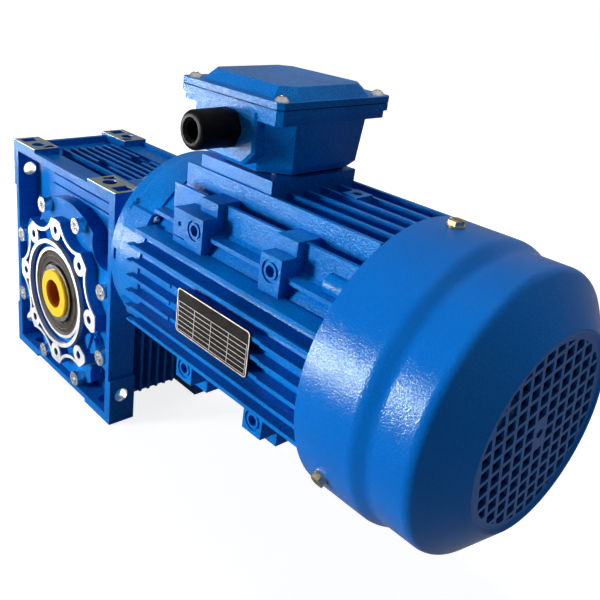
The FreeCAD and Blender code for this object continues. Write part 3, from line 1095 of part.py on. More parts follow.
panel_root = -low_y + 2 * wall
box_body.append(prism_y(panel(0), -PANEL_Y + PANEL_EDGE, panel_root))
box_body.append(loft_y(panel(PANEL_EDGE), -PANEL_Y, panel(0), -PANEL_Y + PANEL_EDGE))
tools = [loft_z(floor_oct, floor_z, top_in_oct, under_z), prism_z(top_in_oct, under_z - 0.01, box_z1 + 1)]
tools.append(cyl_y(GLAND_THREAD_R, -PANEL_Y - 1, 0, GLAND_X, gland_z))
tools.append(box(wire_x0, wire_x1, wire_y0, wire_y1, box_z0 - 1, floor_z + 1))
lid_screw_points = [(x, y) for x in (LIP_X0 + LID_SCREW_INSET, LIP_X1 - LID_SCREW_INSET)
                    for y in (-LIP_Y + LID_SCREW_INSET, LIP_Y - LID_SCREW_INSET)]
for x, y in lid_screw_points:
    tools.append(cyl_z(LID_SCREW_R, under_z - 1, box_z1 + 1, x, y))
for x, y in box_screw_points:
    tools.append(cyl_z(LID_SCREW_R + SCREW_PLAY, box_z0 - 1, floor_z + 1, x, y))
save("terminal_box", cut(fuse(box_body), tools))
gasket_tools = [box(wire_x0, wire_x1, wire_y0, wire_y1, ped_top - 1, box_z0 + 1)]
for x, y in box_screw_points:
    gasket_tools.append(cyl_z(LID_SCREW_R + SCREW_PLAY, ped_top - 1, box_z0 + 1, x, y))
gasket_oct = octagon(PED_X0 + base_inset, PED_X1 - base_inset, PED_Y - base_inset, *base_corners)
save("box_gasket", cut(prism_z(gasket_oct, ped_top, box_z0), gasket_tools))
reach = floor_z - ped_top + BOX_SCREW_REACH - 1
screws = [cap_screw(V(x, y, floor_z), Z * -1, LID_SCREW_R, reach) for x, y in box_screw_points]
save("box_screws", Part.makeCompound(screws))

lid_z0 = box_z1 + GASKET / 2
lid_z1 = lid_z0 + LID_FLANGE
lid_z2 = lid_z1 + LID_RISE
seal_oct = octagon(LIP_X0 + 1, LIP_X1 - 1, LIP_Y - 1, LIP_CORNER, LIP_CORNER)
gasket_tools = [prism_z(top_in_oct, box_z1 - 1, lid_z0 + 1)]
for x, y in lid_screw_points:
    gasket_tools.append(cyl_z(LID_SCREW_R + SCREW_PLAY, box_z1 - 1, lid_z0 + 1, x, y))
save("lid_gasket", cut(prism_z(seal_oct, box_z1, lid_z0), gasket_tools))


def lid_step(inset, corner):
    x0 = LIP_X0 + LID_INSET_X + inset
    x1 = LIP_X1 - LID_INSET_X - inset
    return octagon(x0, x1, LIP_Y - LID_INSET_Y - inset, corner, corner)


lid = [prism_z(lip_oct, lid_z0, lid_z1)]
lid.append(loft_z(lid_step(0, LID_CORNER), lid_z1, lid_step(LID_SLOPE, LID_TOP_CORNER), lid_z2))
hollow_low = lid_step(2 * wall, LID_CORNER)
hollow_high = lid_step(LID_SLOPE + wall, LID_TOP_CORNER)
tools = [prism_z(hollow_low, lid_z0 - 1, lid_z0 + 1)]
tools.append(loft_z(hollow_low, lid_z0 + 0.99, hollow_high, lid_z2 - wall))
for x, y in lid_screw_points:
    tools.append(cyl_z(LID_SCREW_R + SCREW_PLAY, lid_z0 - 1, lid_z1 + 1, x, y))
save("terminal_lid", cut(fuse(lid), tools))
reach = lid_z1 - under_z - 0.5
screws = [pan_screw(V(x, y, lid_z1), Z * -1, LID_SCREW_R, reach) for x, y in lid_screw_points]
save("lid_screws", Part.makeCompound(screws))

# Terminal block inside the box
block_x0 = (PED_X0 + PED_X1 - BLOCK_LENGTH) / 2
block_top = floor_z + BLOCK_HEIGHT
stud_rows = [block_x0 + STUD_PITCH * (i + 0.5) for i in range(3)]
stud_y = BLOCK_HALF / 2
stud_low = floor_z + BLOCK_HEIGHT / 5
link_top = block_top + 1
block = box(block_x0, block_x0 + BLOCK_LENGTH, -BLOCK_HALF, BLOCK_HALF, floor_z, block_top)
holes = []
studs = []
links = []
for x in stud_rows:
    pair = [cyl_z(STUD_R, stud_low, link_top + 2 * NUT_HEIGHT, x, y) for y in (-stud_y, stud_y)]
    holes += pair
    link = box(x - NUT_ACROSS / 2, x + NUT_ACROSS / 2, -BLOCK_HALF + 2, BLOCK_HALF - 2, block_top, link_top)
    links.append(cut(link, pair))
    for y, stud in zip((-stud_y, stud_y), pair):
        studs.append(fuse([hex_prism(V(x, y, link_top), Z, NUT_ACROSS, NUT_HEIGHT), stud]))
save("terminal_block", cut(block, holes))
save("terminal_links", Part.makeCompound(links))
save("terminal_studs", Part.makeCompound(studs))

# Cable gland
gland_root = -PED_Y + wall
gland_step = -PANEL_Y - GLAND_COLLAR
gland_stop = -GLAND_END + GLAND_WALL
gland_body = [cyl_y(GLAND_THREAD_R, -PANEL_Y, gland_root, GLAND_X, gland_z)]
collar = hex_prism(V(GLAND_X, gland_step, gland_z), Y, 2 * GLAND_NUT_R - 1, GLAND_COLLAR)
gland_body.append(collar.common(cyl_y(GLAND_NUT_R + 0.4, gland_step, -PANEL_Y, GLAND_X, gland_z)))
gland_body.append(cyl_y(GLAND_THREAD_R - 1, gland_stop, gland_step, GLAND_X, gland_z))
seal_r = GLAND_THREAD_R - 2.5
seal_end = gland_step - GLAND_COLLAR / 2
cord = cyl_y(GLAND_CORD_R, -GLAND_END - 1, gland_root + 1, GLAND_X, gland_z)
seal_plug = cyl_y(seal_r, gland_stop, seal_end, GLAND_X, gland_z)
save("gland_body", cut(fuse(gland_body), [seal_plug, cord]))
save("gland_seal", cut(seal_plug, [cord]))
nut = cyl_y(GLAND_NUT_R, -GLAND_END, gland_step, GLAND_X, gland_z)
nut = nut.makeFillet(GLAND_ROUND, [e for e in nut.Edges if e.BoundBox.YMax < -GLAND_END + 0.1])
mouth_r = GLAND_CORD_R + GLAND_MOUTH
mouth = Part.makeCone(mouth_r, GLAND_CORD_R, GLAND_MOUTH, V(GLAND_X, -GLAND_END, gland_z), Y)
nut = cut(nut, [cord, mouth, cyl_y(GLAND_THREAD_R - 1, gland_stop, gland_step + 1, GLAND_X, gland_z)])
save("gland_nut", nut)

# Name plate on the side fins
plate = box(PLATE_X0, plate_x1, plate_y - PLATE_THICK, plate_y, plate_low, plate_high)
corner_edges = [e for e in plate.Edges if abs(e.tangentAt(e.FirstParameter).y) > 0.9]
save("name_plate", plate.makeFillet(PLATE_CORNER, corner_edges))
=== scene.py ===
import json
import math

import bmesh
import bpy
from mathutils import Matrix, Vector


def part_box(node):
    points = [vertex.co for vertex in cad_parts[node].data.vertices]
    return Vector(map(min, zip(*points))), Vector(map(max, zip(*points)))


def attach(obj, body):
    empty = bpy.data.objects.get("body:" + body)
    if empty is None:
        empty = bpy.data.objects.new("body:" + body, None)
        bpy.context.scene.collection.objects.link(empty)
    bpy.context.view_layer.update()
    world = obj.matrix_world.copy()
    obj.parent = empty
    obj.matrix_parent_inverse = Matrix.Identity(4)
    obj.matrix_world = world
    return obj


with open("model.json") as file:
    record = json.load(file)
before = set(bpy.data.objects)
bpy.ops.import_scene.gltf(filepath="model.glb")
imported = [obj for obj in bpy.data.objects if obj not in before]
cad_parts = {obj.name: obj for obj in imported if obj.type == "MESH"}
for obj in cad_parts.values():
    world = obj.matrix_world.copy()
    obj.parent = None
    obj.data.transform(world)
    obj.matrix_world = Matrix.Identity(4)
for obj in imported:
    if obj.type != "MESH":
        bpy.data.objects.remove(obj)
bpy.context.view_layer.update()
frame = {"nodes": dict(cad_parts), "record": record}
nodes = frame["nodes"]
mounts = {mount["name"]: mount for mount in frame["record"]["mounts"]}
scene = bpy.context.scene

MM = 0.001
FULL_TURN = 2 * math.pi
WHITE = (1.0, 1.0, 1.0, 1.0)


# Node material helpers
FINE_DETAIL = 2.0
CLOUD_DETAIL = 3.0
BLOTCH_FROM = 0.3
BLOTCH_TO = 0.7


def new_material(name):
    mat = bpy.data.materials.new(name)
    mat.use_nodes = True
    tree = mat.node_tree
    tree.nodes.clear()
    out = tree.nodes.new("ShaderNodeOutputMaterial")
    bsdf = tree.nodes.new("ShaderNodeBsdfPrincipled")
    tree.links.new(bsdf.outputs["BSDF"], out.inputs["Surface"])
    return mat, tree, bsdf


def coords(tree, kind="Object"):
    return tree.nodes.new("ShaderNodeTexCoord").outputs[kind]


def noise(tree, vector, scale, detail):
    node = tree.nodes.new("ShaderNodeTexNoise")
    node.inputs["Scale"].default_value = scale
    node.inputs["Detail"].default_value = detail
    tree.links.new(vector, node.inputs["Vector"])
    return node.outputs["Fac"]


def math_node(tree, op, *values):
    node = tree.nodes.new("ShaderNodeMath")
    node.operation = op
    for socket, value in zip(node.inputs, values):
        if isinstance(value, (int, float)):
            socket.default_value = value
        else:
            tree.links.new(value, socket)
    return node.outputs[0]


def ramp(tree, fac, low, high, out_low=0.0, out_high=1.0):
    node = tree.nodes.new("ShaderNodeMapRange")
    node.inputs["From Min"].default_value = low
    node.inputs["From Max"].default_value = high
    node.inputs["To Min"].default_value = out_low
    node.inputs["To Max"].default_value = out_high
    tree.links.new(fac, node.inputs["Value"])
    return node.outputs["Result"]


def blotch(tree, vector, scale, detail, out_low=0.0, out_high=1.0):
    spots = noise(tree, vector, scale, detail)
    return ramp(tree, spots, BLOTCH_FROM, BLOTCH_TO, out_low, out_high)


def mix_color(tree, fac, a, b):
    node = tree.nodes.new("ShaderNodeMix")
    node.data_type = "RGBA"
    tree.links.new(fac, node.inputs["Factor"])
    sockets = [socket for socket in node.inputs if socket.type == "RGBA"]
    for socket, value in zip(sockets, (a, b)):
        if isinstance(value, tuple):
            socket.default_value = (*value, 1.0)
        else:
            tree.links.new(value, socket)
    return [socket for socket in node.outputs if socket.type == "RGBA"][0]


def bump(tree, bsdf, height, strength, distance):
    node = tree.nodes.new("ShaderNodeBump")
    node.inputs["Strength"].default_value = strength
    node.inputs["Distance"].default_value = distance
    tree.links.new(height, node.inputs["Height"])
    tree.links.new(node.outputs["Normal"], bsdf.inputs["Normal"])


def axis_of(tree, vector, name):
    node = tree.nodes.new("ShaderNodeSeparateXYZ")
    tree.links.new(vector, node.inputs[0])
    return node.outputs[name]


def any_of(tree, masks):
    out = masks[0]
    for other in masks[1:]:
        out = math_node(tree, "MAXIMUM", out, other)
    return out


def beyond(tree, pos, axis, limit):
    side = "LESS_THAN" if limit < 0 else "GREATER_THAN"
    return math_node(tree, side, axis_of(tree, pos, axis), limit)


def in_holes(tree, pos, axes, centre, spread, radius):
    gaps = []
    for axis, middle, half in zip(axes, centre, spread):
        off = math_node(tree, "SUBTRACT", axis_of(tree, pos, axis), middle)
        gaps.append(math_node(tree, "SUBTRACT", math_node(tree, "ABSOLUTE", off), half))
    square = math_node(tree, "MULTIPLY", gaps[0], gaps[0])
    square = math_node(tree, "MULTIPLY_ADD", gaps[1], gaps[1], square)
    return math_node(tree, "LESS_THAN", square, radius * radius)


# Machined faces and drilled holes that stay bare
FLANGE_SKIN = 1.2 * MM
PAD_SKIN = 0.3 * MM
HOLE_SKIN = 0.25 * MM
FLANGE_Y = abs(mounts["output_flange_front"]["pos_m"][1]) - FLANGE_SKIN
PAD_TOP_Z = mounts["foot_top"]["pos_m"][2] - PAD_SKIN
PAD_LOW_Z = mounts["foot_bottom"]["pos_m"][2] + PAD_SKIN


def cover_bare(tree, pos):
    return beyond(tree, pos, "Y", -FLANGE_Y)


def foot_bare(tree, pos, name, axes):
    mount = mounts[name]
    dims = mount["dims"]
    centre = [mount["pos_m"]["XYZ".index(axis)] for axis in axes]
    spread = (dims["spacing_x_mm"] / 2 * MM, dims["spacing_y_mm"] / 2 * MM)
    return in_holes(tree, pos, axes, centre, spread, dims["hole_r_mm"] * MM + HOLE_SKIN)


def housing_bare(tree, pos):
    limits = (("Y", FLANGE_Y), ("Z", PAD_TOP_Z), ("Z", PAD_LOW_Z))
    masks = [beyond(tree, pos, axis, limit) for axis, limit in limits]
    masks.append(foot_bare(tree, pos, "foot_end", "YZ"))
    return any_of(tree, masks)


# Blue paint, in two tones, with the grain of a sprayed casting
SHEET_BLUE = ((0.0002, 0.145, 0.58), (0.0003, 0.172, 0.67))
CAST_BLUE = ((0.0002, 0.128, 0.48), (0.0003, 0.226, 0.74))
# The gear housing and side cover take the casting blue made darker: painted shade that holds them back where
# the lamps light them more than the motor
SHADED_GEAR_BLUE = ((0.0002, 0.104, 0.42), (0.0003, 0.190, 0.65))
SHEET_FINISH = {"peel_scale": 1080.0, "peel": 0.42, "gloss": 0.17, "shine": 0.15}
CAST_FINISH = {"peel_scale": 920.0, "peel": 0.62, "gloss": 0.22, "shine": 0.09}
PEEL_DEPTH = 0.52 * MM
CLOUD_SCALE = 22.0
CLOUD_SHARE = 0.4
PEEL_SHARE = 0.6
TONE_FROM = 0.38
TONE_TO = 0.62
GLOSS_SCALE = 90.0
GLOSS_SPREAD = 0.04
SHEEN_TINT = (0.78, 1.0, 0.86, 1.0)
BARE = (0.48, 0.48, 0.50)
BARE_DARK = (0.33, 0.33, 0.35)
BARE_ROUGH = 0.22
BARE_SCALE = 240.0


def paint(name, tones, finish, bare=None):
    mat, tree, bsdf = new_material(name)
    pos = coords(tree)
    gloss = finish["gloss"]
    peaks = noise(tree, pos, finish["peel_scale"], FINE_DETAIL)
    cloud = noise(tree, pos, CLOUD_SCALE, CLOUD_DETAIL)
    tone = math_node(tree, "MULTIPLY", peaks, PEEL_SHARE)
    tone = math_node(tree, "MULTIPLY_ADD", cloud, CLOUD_SHARE, tone)
    color = mix_color(tree, ramp(tree, tone, TONE_FROM, TONE_TO), *tones)
    rough = blotch(tree, pos, GLOSS_SCALE, FINE_DETAIL, gloss - GLOSS_SPREAD, gloss + GLOSS_SPREAD)
    if bare:
        mask = bare(tree, pos)
        worn = mix_color(tree, noise(tree, pos, BARE_SCALE, CLOUD_DETAIL), BARE_DARK, BARE)
        color = mix_color(tree, mask, color, worn)
        rough = math_node(tree, "MULTIPLY_ADD", mask, BARE_ROUGH, rough)
        tree.links.new(mask, bsdf.inputs["Metallic"])
    tree.links.new(color, bsdf.inputs["Base Color"])
    tree.links.new(rough, bsdf.inputs["Roughness"])
    bump(tree, bsdf, peaks, finish["peel"], PEEL_DEPTH)
    bsdf.inputs["Specular IOR Level"].default_value = finish["shine"]
    bsdf.inputs["Specular Tint"].default_value = SHEEN_TINT
    return mat


# Metals: dark tone, light tone, lowest and highest roughness, noise scale
METALS = {
    "zinc_steel": ((0.66, 0.66, 0.67), (0.88, 0.88, 0.88), 0.18, 0.30, 300.0),
    "bright_screw": ((0.58, 0.57, 0.55), (0.86, 0.84, 0.81), 0.06, 0.13, 260.0),
    "yellow_zinc": ((0.50, 0.39, 0.20), (0.78, 0.66, 0.42), 0.12, 0.22, 260.0),
    "shaft_steel": ((0.36, 0.36, 0.37), (0.58, 0.58, 0.59), 0.18, 0.28, 250.0),
    "lamination_steel": ((0.30, 0.31, 0.33), (0.46, 0.47, 0.49), 0.40, 0.55, 400.0),
    "bare_aluminium": ((0.70, 0.70, 0.72), (0.86, 0.86, 0.88), 0.30, 0.42, 200.0),
    "copper_winding": ((0.50, 0.20, 0.08), (0.72, 0.36, 0.16), 0.30, 0.45, 500.0),
    "bronze": ((0.58, 0.38, 0.14), (0.76, 0.55, 0.26), 0.28, 0.40, 250.0),
    "brass_terminal": ((0.70, 0.52, 0.20), (0.86, 0.70, 0.36), 0.24, 0.36, 250.0),
    "plate_rule": ((0.52, 0.50, 0.47), (0.70, 0.68, 0.64), 0.30, 0.42, 400.0),
}
# Rubber, plastic and dull paint: the same values, then grain strength and shine
DULLS = {
    "seal_rubber": ((0.030, 0.024, 0.020), (0.060, 0.048, 0.040), 0.40, 0.55, 200.0, 0.1, 0.08),
    "gasket_rubber": ((0.003, 0.006, 0.016), (0.006, 0.012, 0.030), 0.50, 0.60, 200.0, 0.1, 0.05),
    # The rear end shield is near black: painted shade, so the grille holes look dark
    "dark_iron": ((0.006, 0.006, 0.007), (0.014, 0.014, 0.016), 0.55, 0.70, 180.0, 0.2, 0.05),
    "black_plastic": ((0.003, 0.003, 0.004), (0.008, 0.008, 0.010), 0.30, 0.44, 150.0, 0.12, 0.035),
    "plate_metal": ((0.008, 0.007, 0.006), (0.016, 0.014, 0.013), 0.34, 0.46, 120.0, 0.0, 0.06),
}
GRAIN_SCALE = 1500.0
GRAIN_DEPTH = 0.3 * MM


def two_tone(name, dark, light, rough_low, rough_high, scale):
    mat, tree, bsdf = new_material(name)
    fac = blotch(tree, coords(tree), scale, CLOUD_DETAIL)
    tree.links.new(mix_color(tree, fac, dark, light), bsdf.inputs["Base Color"])
    tree.links.new(ramp(tree, fac, 0.0, 1.0, rough_low, rough_high), bsdf.inputs["Roughness"])
    return mat, tree, bsdf


def metal(name, *tones):
    mat, tree, bsdf = two_tone(name, *tones)
    bsdf.inputs["Metallic"].default_value = 1.0
    return mat


def dull(name, *values):
    *tones, grain, shine = values
    mat, tree, bsdf = two_tone(name, *tones)
    if grain:
        bump(tree, bsdf, noise(tree, coords(tree), GRAIN_SCALE, FINE_DETAIL), grain, GRAIN_DEPTH)
    bsdf.inputs["Specular IOR Level"].default_value = shine
    return mat


# Yellow plastic of the transport cap, with painted shade darkening it inside its bore
CAP_YELLOW = (0.90, 0.60, 0.005)
CAP_RECESS_SHADE = (0.42, 0.11, 0.002)
CAP_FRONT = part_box("shaft_transport_cap")[0].y + 0.5 * MM
CAP_FADE = 3.0 * MM
CAP_SCALE = 120.0
CAP_CLOUD = 0.12
CAP_ROUGH = (0.30, 0.40)
CAP_SHINE = 0.2


def cap_plastic(name):
    mat, tree, bsdf = new_material(name)
    pos = coords(tree)
    # Painted shade: the yellow turns dark orange from the cap's front face to CAP_FADE deeper, mixed with a
    # random tone
    recess_shade = ramp(tree, axis_of(tree, pos, "Y"), CAP_FRONT, CAP_FRONT + CAP_FADE)
    cloud = blotch(tree, pos, CAP_SCALE, FINE_DETAIL, 0.0, CAP_CLOUD)
    shade = math_node(tree, "ADD", recess_shade, cloud)
    tree.links.new(mix_color(tree, shade, CAP_YELLOW, CAP_RECESS_SHADE), bsdf.inputs["Base Color"])
    tree.links.new(ramp(tree, cloud, 0.0, CAP_CLOUD, *CAP_ROUGH), bsdf.inputs["Roughness"])
    bsdf.inputs["Specular IOR Level"].default_value = CAP_SHINE
    return mat


# Materials are named after the slots of the record, and a few nodes have their own
materials = {
    "blue_casting": paint("blue_casting", CAST_BLUE, CAST_FINISH),
    "blue_cover": paint("blue_cover", SHADED_GEAR_BLUE, CAST_FINISH, cover_bare),
    "blue_housing": paint("blue_housing", SHADED_GEAR_BLUE, CAST_FINISH, housing_bare),
    "blue_sheet": paint("blue_sheet", SHEET_BLUE, SHEET_FINISH),
    "yellow_plastic": cap_plastic("yellow_plastic"),
}
for name, values in METALS.items():
    materials[name] = metal(name, *values)
for name, values in DULLS.items():
    materials[name] = dull(name, *values)
OWN_MATERIAL = {
    "side_cover": "blue_cover",
    "gear_housing": "blue_housing",
    "fan_cover_screws": "yellow_zinc",
    "oil_level_plug": "blue_casting",
    "lid_screws": "bright_screw",
    "lid_gasket": "gasket_rubber",
    "box_gasket": "gasket_rubber",
    # The rear end shield takes the near-black painted shade
    "rear_end_shield": "dark_iron",
}
for part in frame["record"]["subparts"]:
    obj = nodes[part["node"]]
    obj.data.materials.clear()
    obj.data.materials.append(materials[OWN_MATERIAL.get(part["node"], part["material_slot"])])


# Rounded casting edges
EDGE_WIDTHS = {
    "gear_housing": 0.6 * MM,
    "side_cover": 0.6 * MM,
    "motor_frame": 0.6 * MM,
    "terminal_box": 0.8 * MM,
    "terminal_lid": 0.8 * MM,
    "drive_end_shield": 0.6 * MM,
    "input_flange": 0.6 * MM,
}
EDGE_SEGMENTS = 2
EDGE_ANGLE = math.radians(35)

for name, width in EDGE_WIDTHS.items():
    bevel = nodes[name].modifiers.new("edge_round", "BEVEL")
    bevel.width = width
    bevel.segments = EDGE_SEGMENTS
    bevel.limit_method = "ANGLE"
    bevel.angle_limit = EDGE_ANGLE
    bevel.use_clamp_overlap = True
    bevel.harden_normals = True


# Small raised pieces
def piece(name, mesh, body, mat):
    data = bpy.data.meshes.new(name)
    bmesh.ops.recalc_face_normals(mesh, faces=mesh.faces)
    mesh.to_mesh(data)
    mesh.free()
    obj = bpy.data.objects.new(name, data)
    scene.collection.objects.link(obj)
    data.materials.append(mat)
    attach(obj, body)


def bridge(mesh, loops, closed):
    rings = [[mesh.verts.new(point) for point in loop] for loop in loops]
    following = rings[1:] + rings[:1] if closed else rings[1:]
    for a, b in zip(rings, following):
        for k in range(len(a)):
            n = (k + 1) % len(a)
            mesh.faces.new((a[k], a[n], b[n], b[k]))
    return rings


# Border and rules of the blank name plate
RULE_LIFT = 0.12 * MM
COLUMN_LIFT = RULE_LIFT * 0.9
RULE_WIDTH = 0.35 * MM
RULE_TAPER = 0.5
BORDER_IN = 0.5 * MM
BORDER_WIDTH = 0.6 * MM
RULE_MARGIN = 2 * (BORDER_IN + BORDER_WIDTH)
PLATE_CORNER = 3.0 * MM
CORNER_STEPS = 6
HEAD_SHARE = 0.30
RULE_ROWS = 6
RULE_COLUMNS = 4


def round_outline(x0, x1, z0, z1, radius):
    left, right = x0 + radius, x1 - radius
    low, high = z0 + radius, z1 - radius
    corners = ((right, high), (left, high), (left, low), (right, low))
    points = []
    for quarter, (cx, cz) in enumerate(corners):
        for k in range(CORNER_STEPS + 1):
            turn = FULL_TURN / 4 * (quarter + k / CORNER_STEPS)
            points.append((cx + radius * math.cos(turn), cz + radius * math.sin(turn)))
    return points


def rectangle(x0, x1, z0, z1, y):
    return [(x0, y, z0), (x1, y, z0), (x1, y, z1), (x0, y, z1)]


def raised_rule(mesh, x0, x1, z0, z1, y, lift):
    inset = lift * RULE_TAPER
    foot = rectangle(x0, x1, z0, z1, y)
    top = rectangle(x0 + inset, x1 - inset, z0 + inset, z1 - inset, y - lift)
    rings = bridge(mesh, [foot, top], False)
    mesh.faces.new(rings[1])


def plate_rules():
    low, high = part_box("name_plate")
    mesh = bmesh.new()
    rims = []
    for inset, lift in ((0.0, 0.0), (0.0, RULE_LIFT), (BORDER_WIDTH, RULE_LIFT), (BORDER_WIDTH, 0.0)):
        edge = BORDER_IN + inset
        outline = round_outline(low.x + edge, high.x - edge, low.z + edge, high.z - edge, PLATE_CORNER - edge)
        rims.append([(x, low.y - lift, z) for x, z in outline])
    bridge(mesh, rims, True)
    x0, x1 = low.x + RULE_MARGIN, high.x - RULE_MARGIN
    z0, z1 = low.z + RULE_MARGIN, high.z - HEAD_SHARE * (high.z - low.z)
    half = RULE_WIDTH / 2
    for row in range(RULE_ROWS + 1):
        z = z0 + (z1 - z0) * row / RULE_ROWS
        raised_rule(mesh, x0, x1, z - half, z + half, low.y, RULE_LIFT)
    for column in range(RULE_COLUMNS + 1):
        x = x0 + (x1 - x0) * column / RULE_COLUMNS
        raised_rule(mesh, x - half, x + half, z0, z1, low.y, COLUMN_LIFT)
    return mesh


# Grip ribs on the gland nut
RIB_COUNT = 30
RIB_R = 0.45 * MM
RIB_SINK = 0.3 * MM
RIB_START = 1.0 * MM
RIB_LENGTH = 7.5 * MM
RIB_TIP = 0.15
RIB_STEPS = 6


def grip_ribs():
    low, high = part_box("gland_nut")
    reach = (high.x - low.x) / 2 - RIB_SINK
    y1 = high.y - RIB_START
    y0 = y1 - RIB_LENGTH
    mesh = bmesh.new()
    for rib in range(RIB_COUNT):
        turn = FULL_TURN * rib / RIB_COUNT
        out = Vector((math.cos(turn), 0, math.sin(turn)))
        side = Vector((-math.sin(turn), 0, math.cos(turn)))
        loops = []
        for y, grow in ((y1, 1.0), (y0, 1.0), (y0 - RIB_R, RIB_TIP)):
            centre = Vector(((low.x + high.x) / 2, y, (low.z + high.z) / 2)) + out * reach
            ring = []
            for k in range(RIB_STEPS):
                bend = FULL_TURN * k / RIB_STEPS
                ring.append(centre + (side * math.cos(bend) + out * math.sin(bend)) * RIB_R * grow)
            loops.append(ring)
        rings = bridge(mesh, loops, False)
        mesh.faces.new(rings[0])
        mesh.faces.new(rings[-1])
    return mesh


# Ridges on the faces of the output seals
RIDGE_R = 0.55 * MM
RIDGE_SINK = RIDGE_R
RIDGE_STEPS = 8
RIDGE_TURNS = 96
RIDGE_SHARES = (0.62, 0.74, 0.86)


def ridge_loops(radius, face_y, inward):
    loops = []
    for k in range(RIDGE_TURNS):
        turn = FULL_TURN * k / RIDGE_TURNS
        out = Vector((math.cos(turn), 0, math.sin(turn)))
        ring = []
        for n in range(RIDGE_STEPS):
            bend = FULL_TURN * n / RIDGE_STEPS
            y = face_y + inward * (RIDGE_SINK + RIDGE_R * math.sin(bend))
            ring.append(out * (radius + RIDGE_R * math.cos(bend)) + Vector((0, y, 0)))
        loops.append(ring)
    return loops


def seal_ridges():
    low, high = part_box("output_oil_seals")
    seal_r = (high.x - low.x) / 2
    mesh = bmesh.new()
    for face_y, inward in ((low.y, 1.0), (high.y, -1.0)):
        for share in RIDGE_SHARES:
            bridge(mesh, ridge_loops(seal_r * share, face_y, inward), True)
    return mesh


piece("name_plate_rules", plate_rules(), "housing", materials["plate_rule"])
piece("gland_grip_ribs", grip_ribs(), "housing", materials["black_plastic"])
piece("output_seal_ridges", seal_ridges(), "housing", materials["seal_rubber"])


# Pale floor, white to the camera and darker in the metal, with the shadow kept near the object
FLOOR_SIZE = 60.0
FLOOR_X = 0.15
FLOOR_DARK = (0.44, 0.44, 0.44)
FLOOR_LIGHT = (0.48, 0.48, 0.48)
FLOOR_SCALE = 3.0
FLOOR_ROUGH = 0.8
FLOOR_COLOR_IN_METAL = (0.10, 0.10, 0.10)
FLOOR_GLOW_IN_METAL = 0.20
GLOW_REACH = (0.30, 0.9)
GLOW_STRENGTH = (0.84, 1.0)
SEEN_RAYS = ("Camera", "Transmission")
MIRROR_RAYS = ("Glossy",)


def ray_mask(tree, kinds):
    path = tree.nodes.new("ShaderNodeLightPath")
    return any_of(tree, [path.outputs["Is " + kind + " Ray"] for kind in kinds])


def floor_material():
    mat, tree, bsdf = new_material("pale_floor")
    pale = mix_color(tree, noise(tree, coords(tree), FLOOR_SCALE, FINE_DETAIL), FLOOR_DARK, FLOOR_LIGHT)
    color = mix_color(tree, ray_mask(tree, MIRROR_RAYS), pale, FLOOR_COLOR_IN_METAL)
    reach = tree.nodes.new("ShaderNodeVectorMath")
    reach.operation = "LENGTH"
    tree.links.new(coords(tree), reach.inputs[0])
    glow = ramp(tree, reach.outputs["Value"], *GLOW_REACH, *GLOW_STRENGTH)
    glow = math_node(tree, "MULTIPLY", ray_mask(tree, SEEN_RAYS), glow)
    glow = math_node(tree, "MULTIPLY_ADD", ray_mask(tree, MIRROR_RAYS), FLOOR_GLOW_IN_METAL, glow)
    tree.links.new(color, bsdf.inputs["Base Color"])
    tree.links.new(glow, bsdf.inputs["Emission Strength"])
    bsdf.inputs["Emission Color"].default_value = WHITE
    bsdf.inputs["Roughness"].default_value = FLOOR_ROUGH
    bsdf.inputs["Specular IOR Level"].default_value = 0.0
    return mat


floor_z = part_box("gear_housing")[0].z
bpy.ops.mesh.primitive_plane_add(size=FLOOR_SIZE, location=(FLOOR_X, 0, floor_z))
floor = bpy.context.object
floor.data.materials.append(floor_material())

# World, white to the camera and brighter overhead in the metal
AMBIENT = 0.03
WALLS_IN_METAL = 0.25
SKY_IN_METAL = 0.60
SKY_FROM = 0.25
SKY_TO = 0.85

world = bpy.data.worlds.new("studio")
world.use_nodes = True
scene.world = world
tree = world.node_tree
height = axis_of(tree, coords(tree, "Generated"), "Z")
mirrored = ramp(tree, height, SKY_FROM, SKY_TO, WALLS_IN_METAL, SKY_IN_METAL)
strength = math_node(tree, "MULTIPLY_ADD", ray_mask(tree, SEEN_RAYS), 1.0 - AMBIENT, AMBIENT)
strength = math_node(tree, "MULTIPLY_ADD", ray_mask(tree, MIRROR_RAYS), mirrored, strength)
background = tree.nodes["Background"]
background.inputs["Color"].default_value = WHITE
tree.links.new(strength, background.inputs["Strength"])

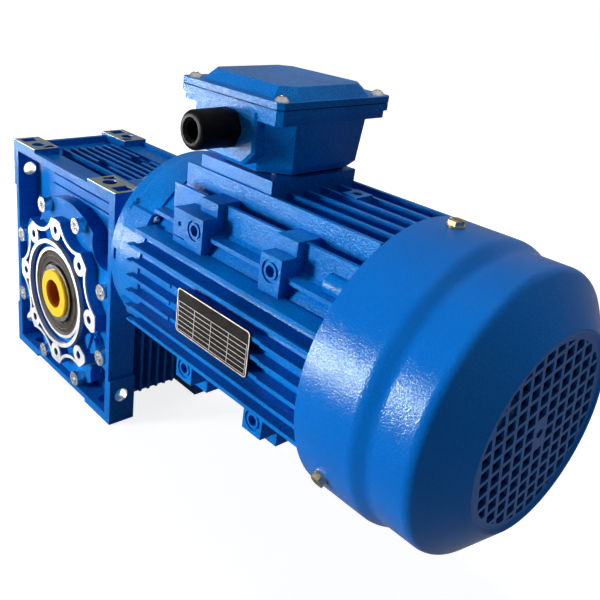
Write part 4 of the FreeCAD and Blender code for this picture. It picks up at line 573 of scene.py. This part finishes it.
# Lamps: name, place, target, width and height, watts, and whether they give soft light or sheen
LAMPS = (
    ("key", (-0.55, -1.40, 0.20), (0.25, 0, 0.12), (0.30, 0.50), 27, "soft"),
    ("strip", (-0.55, -1.40, 0.20), (0.25, 0, 0.12), (0.15, 0.50), 60, "sheen"),
    ("edge", (-0.98, -0.68, 0.01), (0.1, 0, 0.01), (0.26, 0.19), 16, "sheen"),
    ("card", (-0.33, -0.53, 0.0), (0.2, 0, 0.14), (0.30, 0.22), 3.4, "sheen"),
    ("side", (0.90, -0.10, 0.25), (0.39, 0, 0.08), (0.30, 0.30), 0.25, "soft"),
    ("back", (-0.10, 1.50, 0.60), (0.15, 0, 0.06), (0.80, 0.60), 7, "soft"),
    ("top", (0.2, 0.05, 1.3), (0.2, 0, 0.1), (0.6, 0.4), 6, "soft"),
)

for name, place, target, size, power, kind in LAMPS:
    data = bpy.data.lights.new(name, "AREA")
    data.shape = "RECTANGLE"
    data.size, data.size_y = size
    data.energy = power
    lamp = bpy.data.objects.new(name, data)
    scene.collection.objects.link(lamp)
    aim = (Vector(target) - Vector(place)).to_track_quat("-Z", "Y")
    lamp.matrix_world = Matrix.Translation(place) @ aim.to_matrix().to_4x4()
    lamp.visible_camera = False
    lamp.visible_diffuse = kind == "soft"
    lamp.visible_glossy = kind == "sheen"

# Camera at the photograph's angle
CAMERA_AZ = math.radians(49.84)
CAMERA_EL = math.radians(23.28)
CAMERA_ROLL = math.radians(5.0)
CAMERA_TARGET = Vector((139.73, 0.0, 61.63)) * MM
CAMERA_DISTANCE = 550.75 * MM
SENSOR_MM = 36.0
IMAGE_PX = 600.0
FOCAL_PX = 742.6
CENTRE_X_PX = 216.32
CENTRE_Y_PX = 272.34

flat = math.cos(CAMERA_EL)
back = Vector((math.sin(CAMERA_AZ) * flat, -math.cos(CAMERA_AZ) * flat, math.sin(CAMERA_EL)))
level_right = (-back).cross(Vector((0, 0, 1))).normalized()
level_up = level_right.cross(-back)
right = math.cos(CAMERA_ROLL) * level_right + math.sin(CAMERA_ROLL) * level_up
up = math.cos(CAMERA_ROLL) * level_up - math.sin(CAMERA_ROLL) * level_right
pose = Matrix((right, up, back)).transposed().to_4x4()
pose.translation = CAMERA_TARGET + back * CAMERA_DISTANCE

cam_data = bpy.data.cameras.new("camera")
cam_data.sensor_width = SENSOR_MM
cam_data.lens = FOCAL_PX / IMAGE_PX * SENSOR_MM
cam_data.shift_x = (IMAGE_PX / 2 - CENTRE_X_PX) / IMAGE_PX
cam_data.shift_y = (CENTRE_Y_PX - IMAGE_PX / 2) / IMAGE_PX
cam = bpy.data.objects.new("camera", cam_data)
scene.collection.objects.link(cam)
cam.matrix_world = pose
scene.camera = cam
scene.view_settings.view_transform = "Standard"
